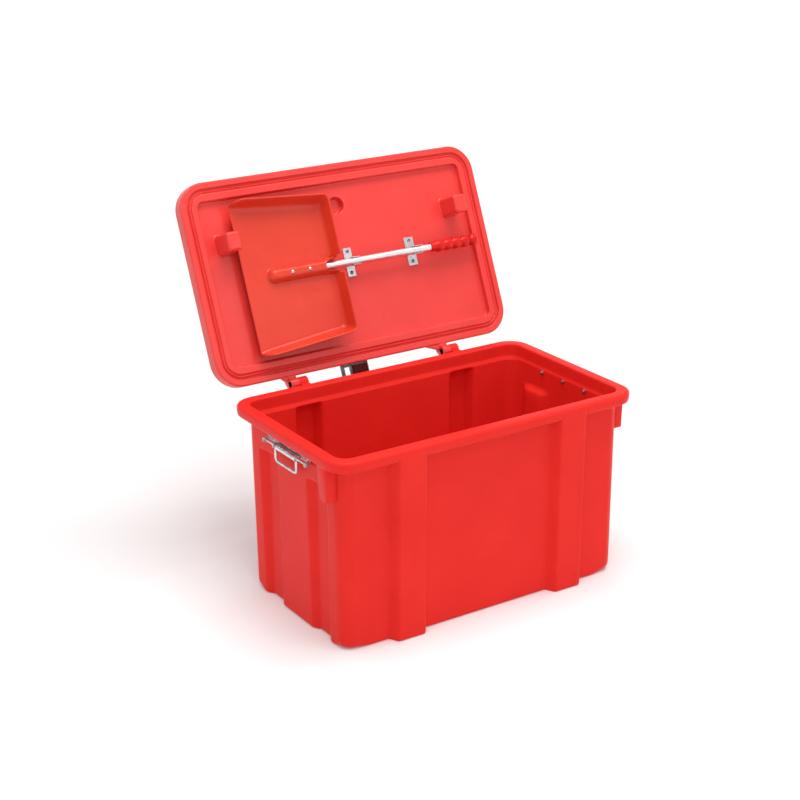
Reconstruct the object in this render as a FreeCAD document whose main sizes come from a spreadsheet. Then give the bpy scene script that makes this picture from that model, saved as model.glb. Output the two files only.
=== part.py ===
import FreeCAD, Part
import os
import math
import Sketcher
import PartDesign

# Grit and salt bin: moulded tub, hinged double-walled lid standing open, a
# drop handle on each end, and a scoop clipped to the inside of the lid.
# Frame: millimetres, origin at the bottom centre of the tub, X along the
# length, Y to the rear (hinge side), Z up.  Heights in the sketches are taken
# from a datum plane a little above the ground, and every piece is raised by
# that amount.  The lid and all it carries are drawn closed and then turned
# about the hinge axis to the open rest position.

V = FreeCAD.Vector
Rot = FreeCAD.Rotation
Place = FreeCAD.Placement

os.makedirs("parts", exist_ok=True)
doc = FreeCAD.newDocument("salt_bin")
sheet = doc.addObject("Spreadsheet::Sheet", "dims")

D = {
    # tub; "tub_high" is the rim above the datum, the ground is "datum" below it
    "datum": 8.5,
    "rim_len": 780, "rim_wid": 460, "tub_high": 430, "rim_corner": 54,
    "skirt_low": 406, "rim_thick": 5, "rim_edge": 4,
    "wall_hx": 360.2, "wall_hy": 198.5, "wall_corner": 30, "wall_draft": 3.5,
    "wall_thick": 5, "floor_thick": 5, "foot_round": 7,
    "collar_hx": 366.5, "collar_hy": 206.5, "collar_corner": 38, "collar_low": 394.5,
    "mouth_hx": 362, "mouth_hy": 202, "mouth_corner": 28,
    "ledge_low": 394, "ledge_high": 400, "ledge_run": 4.4,
    "rib_left": -205.5, "rib_right": 210, "rib_face": 33, "rib_run": 0.5333,
    "rib_out": 221, "rib_out_top": 229.8, "rib_edge": 5,
    "rib_root": 195, "rib_thick": 5, "hollow_face": 24, "hollow_run": 0.4,
    "hollow_root": 189,
    "chan_near": 58, "chan_far": 145, "chan_slant": 22, "chan_back": 349,
    "chan_top": 341, "chan_thick": 5,
    "lug_out": 385.5, "lug_front": -178.5, "lug_rear": -140, "lug_low": 331,
    "lug_wall": 4,
    # hinge
    "hinge_back": 247.5, "hinge_high": 428, "knuckle_rad": 13,
    "knuckle_wide": 21, "hinge_left": -203, "hinge_right": 208,
    "pin_rad": 4, "lid_bore": 4.05, "knuckle_gap": 0.3, "pin_inset": 6, "web_left": 16, "web_right": 38,
    "open_turn": 113,
    # lid
    "lid_hx": 391, "lid_hy": 231, "lid_mid": -1.3, "lid_corner": 62,
    "lid_low": 430.2, "lid_high": 468, "lid_edge": 10,
    "groove_in": 15, "groove_out": 27, "groove_deep": 5.5,
    "bead_in": 20.8, "bead_out": 23.2, "bead_down": 2,
    "panel_in_x": 42, "panel_in_y": 43.5, "panel_deep": 14, "panel_corner": 13,
    "band_deep": 1,
    "void_inset": 6, "void_low": 440.5, "void_mid": 448.4, "void_high": 463.5,
    "void_step": 38,
    "block_mid": 301.8, "block_hx": 18, "block_hy": 22.5, "block_y": -87.6,
    "block_low": 381.2, "block_edge": 8, "block_wall": 4,
    "dimple_x": 3.5, "dimple_y": -135.6, "dimple_rad": 20, "dimple_deep": 12,
    "post_rad": 6,
    # handles
    "plate_in": 366.5, "plate_thick": 2.5, "plate_hy": 89.25, "plate_low": 383.5,
    "plate_high": 397.5, "plate_corner": 1.5, "seat_low": 380,
    "bolt_high": 390.5, "bolt_step": 78, "bolt_rad": 3, "bolt_hole": 3.2,
    "bolt_head": 5.5, "bolt_dome": 2.6, "bolt_tip": 351.5,
    "nut_across": 10, "nut_thick": 5, "nut_seat": 358.3,
    "rod_out": 376.5, "rod_high": 383, "rod_rad": 2.5, "ear_mid": 88,
    "ear_thick": 2.5, "ear_rad": 7, "rod_end": 92.2, "rod_cap": 4.6, "cap_long": 2.9,
    "bail_leg": 44, "bail_wire": 3.2, "bail_bar": 349, "bail_bend": 9,
    "bail_eye": 6.9, "bail_bore": 2.6,
    "spring_half": 39.4, "spring_mean": 5.5, "spring_wire": 0.95,
    "spring_turns": 30,
    # scoop and clips
    "tube_y": 1.0, "tube_z": 414.2, "tube_rad": 8, "tube_bore": 6.5,
    "tube_from": -175, "tube_to": 262,
    "pan_mid": 0.6, "pan_floor": 424.2, "pan_rim": 384.2,
    "pan_thick": 3, "pan_lip_x": -280, "pan_lip_hy": 169,
    "pan_back_x": -54, "pan_back_hy": 147,
    "pan_rim_lip_x": -272, "pan_rim_lip_hy": 177,
    "pan_rim_back_x": -44.5, "pan_rim_back_hy": 159.5,
    "socket_from": -223, "socket_to": -46, "socket_half": 17.5,
    "socket_top": 402.7, "socket_slant": 32, "notch_half": 18.5, "pan_turn": 8,
    "rivet_one": -166, "rivet_two": -121, "rivet_rad": 2.5,
    "rivet_head": 4.5, "rivet_dome": 2,
    "grip_from": 211, "grip_ball_x": 332, "grip_ball_rad": 15.2,
    "grip_neck": 11, "grip_sleeve": 12.3, "ridge_first": 23, "ridge_step": 24,
    "ridge_ring": 10.8, "ridge_rad": 4,
    "clip_left_from": -6, "clip_left_wide": 21, "clip_right_from": 162,
    "clip_right_wide": 25, "clip_tab_front": -38, "clip_tab_rear": 36,
    "clip_sheet": 1.5, "clip_half": 9.6, "clip_flare": 13.6, "clip_tip": 399.6,
    "clip_slot": 8.05, "clip_neck": 7.6,
    "screw_front": -26.3, "screw_rear": 23.7, "screw_hole": 2.1,
    "screw_rad": 1.6, "screw_head": 4, "screw_dome": 2.2, "screw_deep": 12,
    # rear stop
    "stop_left": -66, "stop_right": 7, "stop_thick": 3, "stop_front": 164.7,
    "stop_back": 270, "stop_leg_low": 424, "stop_bend": 5,
    "stop_win_left": -57, "stop_win_right": -43, "stop_win_front": 236,
    "stop_win_back": 260, "stop_screw_y": 179.7, "stop_screw_mid": -29.5,
    "stop_screw_step": 24,
    "buf_left": -35, "buf_right": 3, "buf_front": 234, "buf_under": 4,
    "buf_inner": 262, "buf_outer": 273, "buf_rib": 1.5,
}
row = 0
for name, value in D.items():
    row += 1
    sheet.set("A%d" % row, name)
    sheet.set("B%d" % row, repr(value))
    sheet.setAlias("B%d" % row, name)
doc.recompute()


class Q:
    """A number together with the sheet expression it comes from."""

    def __init__(self, v, t):
        self.v = float(v)
        self.t = t

    def _two(self, other, op, swap=False):
        o = q(other)
        a, b = (o, self) if swap else (self, o)
        if op == "+":
            v = a.v + b.v
        elif op == "-":
            v = a.v - b.v
        elif op == "*":
            v = a.v * b.v
        else:
            v = a.v / b.v
        return Q(v, "(%s %s %s)" % (a.t, op, b.t))

    def __add__(self, o):
        return self._two(o, "+")

    def __radd__(self, o):
        return self._two(o, "+", True)

    def __sub__(self, o):
        return self._two(o, "-")

    def __rsub__(self, o):
        return self._two(o, "-", True)

    def __mul__(self, o):
        return self._two(o, "*")

    def __rmul__(self, o):
        return self._two(o, "*", True)

    def __truediv__(self, o):
        return self._two(o, "/")

    def __neg__(self):
        return Q(-self.v, "(0 - %s)" % self.t)


def q(x):
    if isinstance(x, Q):
        return x
    return Q(x, ("%.6f" % x) if x >= 0 else "(0 - %.6f)" % (-x))


def d(n):
    return Q(D[n], "dims." + n)


def slope(run, rise):
    """Draft angle whose tangent is run over rise."""
    a, b = q(run), q(rise)
    return Q(math.degrees(math.atan2(a.v, b.v)), "atan(%s / %s)" % (a.t, b.t))


def bind(obj, prop, x):
    x = q(x)
    obj.setExpression(prop, x.t)


# ---------------------------------------------------------------- sketches
def body(label):
    b = doc.addObject("PartDesign::Body", label)
    b.Label = label
    return b


def sketch(b, role, at=0):
    s = b.newObject("Sketcher::SketchObject", b.Label + "_sk")
    plane = [o for o in b.Origin.OriginFeatures if o.Role == role][0]
    s.AttachmentSupport = [(plane, "")]
    s.MapMode = "FlatFace"
    z = q(at)
    s.AttachmentOffset = Place(V(0, 0, z.v), Rot())
    if isinstance(at, Q):
        s.setExpression("AttachmentOffset.Base.z", z.t)
    return s


def fix(s, axis, geo, pos, value):
    value = q(value)
    if abs(value.v) < 1e-9:
        s.addConstraint(Sketcher.Constraint("PointOnObject", geo, pos, -2 if axis == "X" else -1))
        return
    k = s.addConstraint(Sketcher.Constraint("Distance" + axis, -1, 1, geo, pos, value.v))
    if "dims." in value.t:
        s.setExpression("Constraints[%d]" % k, value.t)


def poly(s, pts):
    base = s.GeometryCount
    n = len(pts)
    pts = [(q(a), q(b)) for a, b in pts]
    for i in range(n):
        a, b = pts[i], pts[(i + 1) % n]
        s.addGeometry(Part.LineSegment(V(a[0].v, a[1].v, 0), V(b[0].v, b[1].v, 0)), False)
    for i in range(n):
        s.addConstraint(Sketcher.Constraint("Coincident", base + i, 2, base + (i + 1) % n, 1))
    for i in range(n):
        fix(s, "X", base + i, 1, pts[i][0])
        fix(s, "Y", base + i, 1, pts[i][1])


def circ(s, x, y, r):
    x, y, r = q(x), q(y), q(r)
    g = s.addGeometry(Part.Circle(V(x.v, y.v, 0), V(0, 0, 1), r.v), False)
    fix(s, "X", g, 3, x)
    fix(s, "Y", g, 3, y)
    k = s.addConstraint(Sketcher.Constraint("Radius", g, r.v))
    if "dims." in r.t:
        s.setExpression("Constraints[%d]" % k, r.t)


def rrect(s, cx, cy, hx, hy, r):
    cx, cy, hx, hy, r = q(cx), q(cy), q(hx), q(hy), q(r)
    base = s.GeometryCount
    ctr = [(cx + sx * (hx - r), cy + sy * (hy - r)) for sx, sy in ((1, 1), (-1, 1), (-1, -1), (1, -1))]
    for i in range(4):
        c = V(ctr[i][0].v, ctr[i][1].v, 0)
        a0 = math.radians(90 * i)
        s.addGeometry(Part.ArcOfCircle(Part.Circle(c, V(0, 0, 1), r.v), a0, a0 + math.pi / 2), False)
    for i in range(4):
        c0, c1 = ctr[i], ctr[(i + 1) % 4]
        a = math.radians(90 * (i + 1))
        o = V(math.cos(a) * r.v, math.sin(a) * r.v, 0)
        s.addGeometry(Part.LineSegment(V(c0[0].v, c0[1].v, 0) + o, V(c1[0].v, c1[1].v, 0) + o), False)
    for i in range(4):
        fix(s, "X", base + i, 3, ctr[i][0])
        fix(s, "Y", base + i, 3, ctr[i][1])
    k = s.addConstraint(Sketcher.Constraint("Radius", base, r.v))
    if "dims." in r.t:
        s.setExpression("Constraints[%d]" % k, r.t)
    for i in range(1, 4):
        s.addConstraint(Sketcher.Constraint("Equal", base, base + i))
    for i in range(4):
        s.addConstraint(Sketcher.Constraint("Tangent", base + i, 2, base + 4 + i, 1))
        s.addConstraint(Sketcher.Constraint("Tangent", base + 4 + i, 2, base + (i + 1) % 4, 1))


def bail_path(s, leg, bar, bend, top):
    """Open U: down one leg, round the bend, along the bar, and up again."""
    L, B, R, T = leg.v, bar.v, bend.v, top.v
    s.addGeometry(Part.LineSegment(V(-L, T, 0), V(-L, B + R, 0)), False)
    s.addGeometry(Part.ArcOfCircle(Part.Circle(V(R - L, B + R, 0), V(0, 0, 1), R), math.pi, 1.5 * math.pi), False)
    s.addGeometry(Part.LineSegment(V(R - L, B, 0), V(L - R, B, 0)), False)
    s.addGeometry(Part.ArcOfCircle(Part.Circle(V(L - R, B + R, 0), V(0, 0, 1), R), 1.5 * math.pi, 2 * math.pi), False)
    s.addGeometry(Part.LineSegment(V(L, B + R, 0), V(L, T, 0)), False)
    s.addConstraint(Sketcher.Constraint("Tangent", 0, 2, 1, 1))
    s.addConstraint(Sketcher.Constraint("Tangent", 1, 2, 2, 1))
    s.addConstraint(Sketcher.Constraint("Tangent", 2, 2, 3, 1))
    s.addConstraint(Sketcher.Constraint("Tangent", 3, 2, 4, 1))
    fix(s, "X", 0, 1, -leg)
    fix(s, "Y", 0, 1, top)
    fix(s, "X", 1, 3, bend - leg)
    fix(s, "Y", 1, 3, bar + bend)
    fix(s, "X", 3, 3, leg - bend)
    fix(s, "Y", 3, 3, bar + bend)
    fix(s, "X", 4, 2, leg)
    fix(s, "Y", 4, 2, top)


def pad(b, s, length, taper=None, back=False):
    p = b.newObject("PartDesign::Pad", b.Label + "_pad")
    p.Profile = s
    length = q(length)
    p.Length = length.v
    if "dims." in length.t:
        p.setExpression("Length", length.t)
    p.Reversed = back
    if taper is not None:
        p.TaperAngle = taper.v
        p.setExpression("TaperAngle", taper.t)
    s.Visibility = False
    return p


def cut(b, s, length, taper=None, back=False):
    """Cut along the sketch normal (or against it with back)."""
    p = b.newObject("PartDesign::Pocket", b.Label + "_cut")
    p.Profile = s
    length = q(length)
    p.Length = length.v
    if "dims." in length.t:
        p.setExpression("Length", length.t)
    p.Reversed = not back
    if taper is not None:
        p.TaperAngle = taper.v
        p.setExpression("TaperAngle", taper.t)
    s.Visibility = False
    return p


def fillet(b, radius, pick):
    doc.recompute()
    tip = b.Tip
    names = []
    for i, e in enumerate(tip.Shape.Edges):
        if pick(e):
            names.append("Edge%d" % (i + 1))
    if not names:
        raise RuntimeError("no edge found for a rounding on " + b.Label)
    f = b.newObject("PartDesign::Fillet", b.Label + "_round")
    f.Base = (tip, names)
    radius = q(radius)
    f.Radius = radius.v
    if "dims." in radius.t:
        f.setExpression("Radius", radius.t)
    doc.recompute()
    return f


def level(z, tol=0.05):
    def pick(e):
        bb = e.BoundBox
        return abs(bb.ZMin - z) < tol and abs(bb.ZMax - z) < tol
    return pick


# -------------------------------------------------------------- primitives
def prim(kind, name, props, pos, rot=None):
    o = doc.addObject(kind, name)
    for k, x in props.items():
        x = q(x)
        setattr(o, k, x.v)
        if "dims." in x.t:
            o.setExpression(k, x.t)
    pos = [q(x) for x in pos]
    o.Placement = Place(V(*[x.v for x in pos]), rot or Rot())
    for ax, x in zip("xyz", pos):
        if "dims." in x.t:
            o.setExpression("Placement.Base." + ax, x.t)
    return o


ALONG_X = Rot(V(0, 1, 0), 90)
AGAINST_X = Rot(V(0, 1, 0), -90)
ALONG_Y = Rot(V(1, 0, 0), -90)
DOWN = Rot(V(1, 0, 0), 180)


def fuse(name, parts):
    o = doc.addObject("Part::MultiFuse", name)
    o.Shapes = parts
    return o


def minus(name, base, tool):
    o = doc.addObject("Part::Cut", name)
    o.Base = base
    o.Tool = tool
    return o


def group(name, parts):
    o = doc.addObject("Part::Compound", name)
    o.Links = parts
    o.Label = name
    return o


def dome(name, rad, high, pos, rot):
    """Low domed cap, flat side at pos, rising along the turned Z axis."""
    rad, high = q(rad), q(high)
    big = (rad * rad + high * high) / (2 * high)
    o = doc.addObject("Part::Sphere", name)
    o.Radius = big.v
    o.setExpression("Radius", big.t)
    ang = math.degrees(math.asin((big.v - high.v) / big.v))
    o.Angle1 = ang
    o.setExpression("Angle1", "asin((%s - %s) / %s)" % (big.t, high.t, big.t))
    o.Angle2 = 90
    n = rot.multVec(V(0, 0, 1))
    sink = big - high
    pos = [q(x) for x in pos]
    off = [pos[i] - sink * round(n[i]) if abs(n[i]) > 0.5 else pos[i] for i in range(3)]
    o.Placement = Place(V(*[x.v for x in off]), rot)
    for ax, x in zip("xyz", off):
        if "dims." in x.t:
            o.setExpression("Placement.Base." + ax, x.t)
    return o


NODES = {}


def node(label, obj, on_lid=False):
    """Name the piece and stand it in the frame; lid pieces turn open."""
    obj.Label = label
    up = D["datum"]
    if not on_lid:
        obj.Placement = Place(V(0, 0, up) + obj.Placement.Base, obj.Placement.Rotation)
        if obj.TypeId in ("PartDesign::Body", "Part::Compound", "Part::MultiFuse"):
            obj.setExpression("Placement.Base.z", "dims.datum")
    else:
        a = math.radians(D["open_turn"])
        hy, hz = D["hinge_back"], D["hinge_high"]
        by = hy - (hy * math.cos(a) + hz * math.sin(a))
        bz = hz - (-hy * math.sin(a) + hz * math.cos(a))
        obj.Placement = Place(V(0, by, bz + up), Rot(V(-1, 0, 0), D["open_turn"]))
        c = "cos(dims.open_turn * 1 deg)"
        s = "sin(dims.open_turn * 1 deg)"
        obj.setExpression("Placement.Base.y", "dims.hinge_back - (dims.hinge_back * %s + dims.hinge_high * %s)" % (c, s))
        obj.setExpression("Placement.Base.z", "dims.datum + dims.hinge_high - (dims.hinge_high * %s - dims.hinge_back * %s)" % (c, s))
    NODES[label] = obj


# --------------------------------------------------------------------- tub
tub = body("tub")
wall_rise = slope(d("wall_draft"), d("tub_high"))
ground = -d("datum")
s = sketch(tub, "XY_Plane", ground)
rrect(s, 0, 0, d("wall_hx"), d("wall_hy"), d("wall_corner"))
pad(tub, s, d("tub_high") - ground, wall_rise)
fillet(tub, d("foot_round"), level(ground.v))

# two stiffening ribs on the front and the rear wall, drawn right through;
# they lean out until they are flush with the rim
def rib_quad(z, mid, face, run, out, root):
    s = sketch(tub, "XY_Plane", z)
    base = face + run * (out - root)
    poly(s, [(mid - base, -root), (mid - face, -out), (mid + face, -out), (mid + base, -root),
             (mid + base, root), (mid + face, out), (mid - face, out), (mid - base, root)])
    s.Visibility = False
    return s


for side in ("rib_left", "rib_right"):
    m = d(side)
    r0 = rib_quad(ground, m, d("rib_face"), d("rib_run"), d("rib_out"), d("rib_root"))
    r1 = rib_quad(d("tub_high") - 1, m, d("rib_face"), d("rib_run"), d("rib_out_top"), d("rib_root"))
    lf = tub.newObject("PartDesign::AdditiveLoft", side + "_outside")
    lf.Profile = r0
    lf.Sections = [r1]
    lf.Ruled = True
    doc.recompute()


def rib_corner(e):
    bb = e.BoundBox
    return bb.ZLength > 300 and min(abs(bb.YMin), abs(bb.YMax)) > 215


fillet(tub, d("rib_edge"), rib_corner)

# lugs under the rim at both ends
s = sketch(tub, "XY_Plane", d("lug_low"))
for sx in (-1, 1):
    poly(s, [(sx * (d("wall_hx") - 1), d("lug_front")), (sx * d("lug_out"), d("lug_front")),
             (sx * d("lug_out"), d("lug_rear")), (sx * (d("wall_hx") - 1), d("lug_rear"))])
pad(tub, s, d("tub_high") - d("lug_low") - d("rim_thick") + 0.5)

# thicker collar under the rim, and the seats for the handle plates
s = sketch(tub, "XY_Plane", d("collar_low"))
rrect(s, 0, 0, d("collar_hx"), d("collar_hy"), d("collar_corner"))
pad(tub, s, d("tub_high") - d("collar_low"))
for sx in (-1, 1):
    s = sketch(tub, "YZ_Plane", sx * d("plate_in"))
    w = d("plate_hy") + 3
    poly(s, [(-w, d("seat_low")), (w, d("seat_low")), (w, d("collar_low") + 4), (-w, d("collar_low") + 4)])
    pad(tub, s, 7.5, back=(sx > 0))

# rim plate and hanging skirt
s = sketch(tub, "XY_Plane", d("tub_high") - d("rim_thick"))
rrect(s, 0, 0, d("rim_len") / 2, d("rim_wid") / 2, d("rim_corner"))
pad(tub, s, d("rim_thick"))
s = sketch(tub, "XY_Plane", d("skirt_low"))
rrect(s, 0, 0, d("rim_len") / 2, d("rim_wid") / 2, d("rim_corner"))
rrect(s, 0, 0, d("rim_len") / 2 - d("rim_thick"), d("rim_wid") / 2 - d("rim_thick"), d("rim_corner") - d("rim_thick"))
pad(tub, s, d("tub_high") - d("skirt_low") - d("rim_thick") + 0.5)
fillet(tub, d("rim_edge"), level(D["tub_high"]))

# inside of the tub
floor_top = ground + d("floor_thick")
s = sketch(tub, "XY_Plane", floor_top)
low = d("wall_draft") * d("floor_thick") / d("tub_high")
rrect(s, 0, 0, d("wall_hx") - d("wall_thick") + low, d("wall_hy") - d("wall_thick") + low,
      d("wall_corner") - d("wall_thick") + low)
cut(tub, s, d("tub_high") - ground, wall_rise)
fillet(tub, 12, level(floor_top.v))
s = sketch(tub, "XY_Plane", d("ledge_low"))
step = d("ledge_high") - d("ledge_low")
wide = d("ledge_run")
rrect(s, 0, 0, d("mouth_hx") - wide, d("mouth_hy") - wide, d("mouth_corner") - wide)
cut(tub, s, step, slope(wide, step))
s = sketch(tub, "XY_Plane", d("ledge_high"))
rrect(s, 0, 0, d("mouth_hx"), d("mouth_hy"), d("mouth_corner"))
cut(tub, s, d("tub_high") - d("ledge_high") + 2)

# hollow of the ribs, open to the inside up to the ledge
t = d("rib_thick")
lean = (d("rib_out_top") - d("rib_out")) / (d("tub_high") - 1 - ground)
for side in ("rib_left", "rib_right"):
    m = d(side)
    top = d("ledge_low") - 2
    low_out = d("rib_out") + lean * (floor_top - ground) - t
    top_out = d("rib_out") + lean * (top - ground) - t
    r0 = rib_quad(floor_top, m, d("hollow_face"), d("hollow_run"), low_out, d("hollow_root"))
    r1 = rib_quad(top, m, d("hollow_face"), d("hollow_run"), top_out, d("hollow_root"))
    ls = tub.newObject("PartDesign::SubtractiveLoft", side + "_inside")
    ls.Profile = r0
    ls.Sections = [r1]
    ls.Ruled = True
    doc.recompute()

# two channels up each end wall: the moulded-in walls, then the hollows
s = sketch(tub, "XY_Plane", ground)
t = d("chan_thick")
for sx in (-1, 1):
    for sy in (-1, 1):
        a, b_, k = d("chan_near") - t, d("chan_far") + t, d("chan_slant")
        poly(s, [(sx * (d("wall_hx") - 1), sy * a), (sx * (d("chan_back") - t), sy * (a + k + 1)),
                 (sx * (d("chan_back") - t), sy * (b_ - k - 1)), (sx * (d("wall_hx") - 1), sy * b_)])
pad(tub, s, d("chan_top") + t - ground)
s = sketch(tub, "XY_Plane", ground - 1)
for sx in (-1, 1):
    for sy in (-1, 1):
        a, b_, k = d("chan_near"), d("chan_far"), d("chan_slant")
        poly(s, [(sx * (d("wall_hx") + 5), sy * (a - 2)), (sx * d("chan_back"), sy * (a + k)),
                 (sx * d("chan_back"), sy * (b_ - k)), (sx * (d("wall_hx") + 5), sy * (b_ + 2))])
cut(tub, s, d("chan_top") + 1 - ground)

# the lugs are hollow from below
s = sketch(tub, "XY_Plane", d("lug_low") - 1)
w = d("lug_wall")
for sx in (-1, 1):
    poly(s, [(sx * (d("collar_hx") + 0.5), d("lug_front") + w), (sx * (d("lug_out") - w), d("lug_front") + w),
             (sx * (d("lug_out") - w), d("lug_rear") - w), (sx * (d("collar_hx") + 0.5), d("lug_rear") - w)])
cut(tub, s, d("tub_high") - d("lug_low") - d("rim_thick") - 3)

# hinge knuckles on the rear of the rim
for side in ("hinge_left", "hinge_right"):
    s = sketch(tub, "YZ_Plane", d(side))
    circ(s, d("hinge_back"), d("hinge_high"), d("knuckle_rad"))
    pad(tub, s, d("knuckle_wide"))
    s = sketch(tub, "YZ_Plane", d(side))
    y0 = d("rim_wid") / 2 - 3
    poly(s, [(y0, d("skirt_low") + 2), (d("hinge_back") - 10, d("skirt_low") + 2),
             (d("hinge_back") + 5, d("hinge_high") - 11), (d("hinge_back"), d("tub_high") - 0.5),
             (y0, d("tub_high") - 0.5)])
    pad(tub, s, d("knuckle_wide"))
    s = sketch(tub, "YZ_Plane", d(side) - 1)
    circ(s, d("hinge_back"), d("hinge_high"), d("pin_rad"))
    cut(tub, s, d("knuckle_wide") + 2)

# bolt holes through both end walls
s = sketch(tub, "YZ_Plane", -(d("rim_len") / 2) + 10)
for k in (-1, 0, 1):
    circ(s, k * d("bolt_step"), d("bolt_high"), d("bolt_hole"))
cut(tub, s, d("rim_len") - 20)
node("tub", tub)

# --------------------------------------------------------------- hinge pins
pins = []
for side in ("hinge_left", "hinge_right"):
    pins.append(prim("Part::Cylinder", "pin_" + side,
                     {"Radius": d("pin_rad"), "Height": 2 * d("knuckle_wide") - 2 * d("pin_inset")},
                     (d(side) - d("knuckle_wide") + d("pin_inset"), d("hinge_back"), d("hinge_high")), ALONG_X))
node("hinge_pins", group("hinge_pins", pins))

# --------------------------------------------------------------------- lid
lid = body("lid")
cy = d("lid_mid")


def inset(s, ix, iy=None, r=None):
    ix = q(ix)
    iy = ix if iy is None else q(iy)
    rrect(s, 0, cy, d("lid_hx") - ix, d("lid_hy") - iy, (d("lid_corner") - ix) if r is None else q(r))


s = sketch(lid, "XY_Plane", d("lid_low"))
inset(s, 0)
pad(lid, s, d("lid_high") - d("lid_low"))
fillet(lid, d("lid_edge"), level(D["lid_high"]))

# sealing groove with its bead, recessed band, sunk panel
s = sketch(lid, "XY_Plane", d("lid_low"))
inset(s, d("groove_in"))
inset(s, d("groove_out"))
cut(lid, s, d("bead_down"))
s = sketch(lid, "XY_Plane", d("lid_low"))
inset(s, d("groove_in"))
inset(s, d("bead_in"))
inset(s, d("bead_out"))
inset(s, d("groove_out"))
cut(lid, s, d("groove_deep"))
s = sketch(lid, "XY_Plane", d("lid_low"))
inset(s, d("groove_out"))
cut(lid, s, d("band_deep"))
s = sketch(lid, "XY_Plane", d("lid_low"))
inset(s, d("panel_in_x"), d("panel_in_y"), d("panel_corner"))
cut(lid, s, d("panel_deep"))

# two blocks standing on the panel
panel = d("lid_low") + d("panel_deep")
s = sketch(lid, "XY_Plane", d("block_low"))
for sx in (-1, 1):
    rrect(s, sx * d("block_mid"), d("block_y"), d("block_hx"), d("block_hy"), d("block_edge"))
pad(lid, s, panel - d("block_low") + 2)
fillet(lid, d("block_edge") - 2, level(D["block_low"]))

# sealed hollow between the two skins
s = sketch(lid, "XY_Plane", d("void_low"))
inset(s, d("void_inset"))
inset(s, d("void_step"), d("void_step") + 1.5, d("panel_corner") + 4)
cut(lid, s, d("void_mid") - d("void_low") + 1)
s = sketch(lid, "XY_Plane", d("void_mid"))
inset(s, d("void_inset"))
cut(lid, s, d("void_high") - d("void_mid"))
s = sketch(lid, "XY_Plane", d("block_low") + d("block_wall"))
for sx in (-1, 1):
    rrect(s, sx * d("block_mid"), d("block_y"), d("block_hx") - d("block_wall"),
          d("block_hy") - d("block_wall"), d("block_edge") - 2)
cut(lid, s, d("void_mid") - d("block_low") - d("block_wall") + 1)

# posts between the skins where screws go, and behind the dimple
s = sketch(lid, "XY_Plane", d("void_mid") - 1)
clip_x = [d("clip_left_from") + d("clip_left_wide") / 2, d("clip_right_from") + d("clip_right_wide") / 2]
for x in clip_x:
    for y in (d("screw_front"), d("screw_rear")):
        circ(s, x, y, d("post_rad"))
stop_x = [d("stop_screw_mid") + k * d("stop_screw_step") for k in (-1, 0, 1)]
for x in stop_x:
    circ(s, x, d("stop_screw_y"), d("post_rad"))
pad(lid, s, d("void_high") - d("void_mid") + 2)
s = sketch(lid, "XY_Plane", d("void_mid") - 1)
circ(s, d("dimple_x"), d("dimple_y"), d("dimple_rad") + 4)
pad(lid, s, d("dimple_deep") + 1.5)
s = sketch(lid, "XY_Plane", panel)
circ(s, d("dimple_x"), d("dimple_y"), d("dimple_rad"))
cut(lid, s, d("dimple_deep"))
s = sketch(lid, "XY_Plane", panel)
for x in clip_x:
    for y in (d("screw_front"), d("screw_rear")):
        circ(s, x, y, d("screw_rad"))
cut(lid, s, d("screw_deep"))
s = sketch(lid, "XY_Plane", d("lid_high") - d("screw_deep"))
for x in stop_x:
    circ(s, x, d("stop_screw_y"), d("screw_rad"))
cut(lid, s, d("screw_deep") + 1)

# knuckles on curved arms
for side in ("hinge_left", "hinge_right"):
    x0 = d(side) - d("knuckle_wide")
    long = d("knuckle_wide") - d("knuckle_gap")
    s = sketch(lid, "YZ_Plane", x0)
    circ(s, d("hinge_back"), d("hinge_high"), d("knuckle_rad"))
    pad(lid, s, long)
    s = sketch(lid, "YZ_Plane", x0)
    hb, hh = d("hinge_back"), d("hinge_high")
    poly(s, [(hb - 21.5, d("lid_low")), (hb - 7, d("lid_low")), (hb, hh), (hb + 12.4, hh + 3.9),
             (hb + 10, hh + 12), (hb + 4, hh + 19), (hb - 4, hh + 24.5), (hb - 12, hh + 27.5), (hb - 21.5, hh + 28.5)])
    pad(lid, s, long)
    # web running out along the lid's edge
    s = sketch(lid, "XY_Plane", d("lid_low") + 2)
    ye = d("lid_hy") + cy - 1.5
    web = d("web_left") if side == "hinge_left" else d("web_right")
    poly(s, [(x0 + 3, ye), (x0 + 3, hb - 2), (x0, hb - 3), (x0 - web, ye)])
    pad(lid, s, 13)
    s = sketch(lid, "YZ_Plane", x0 - 1)
    circ(s, hb, hh, d("lid_bore"))
    cut(lid, s, long + 2)
node("lid", lid, True)

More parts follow.
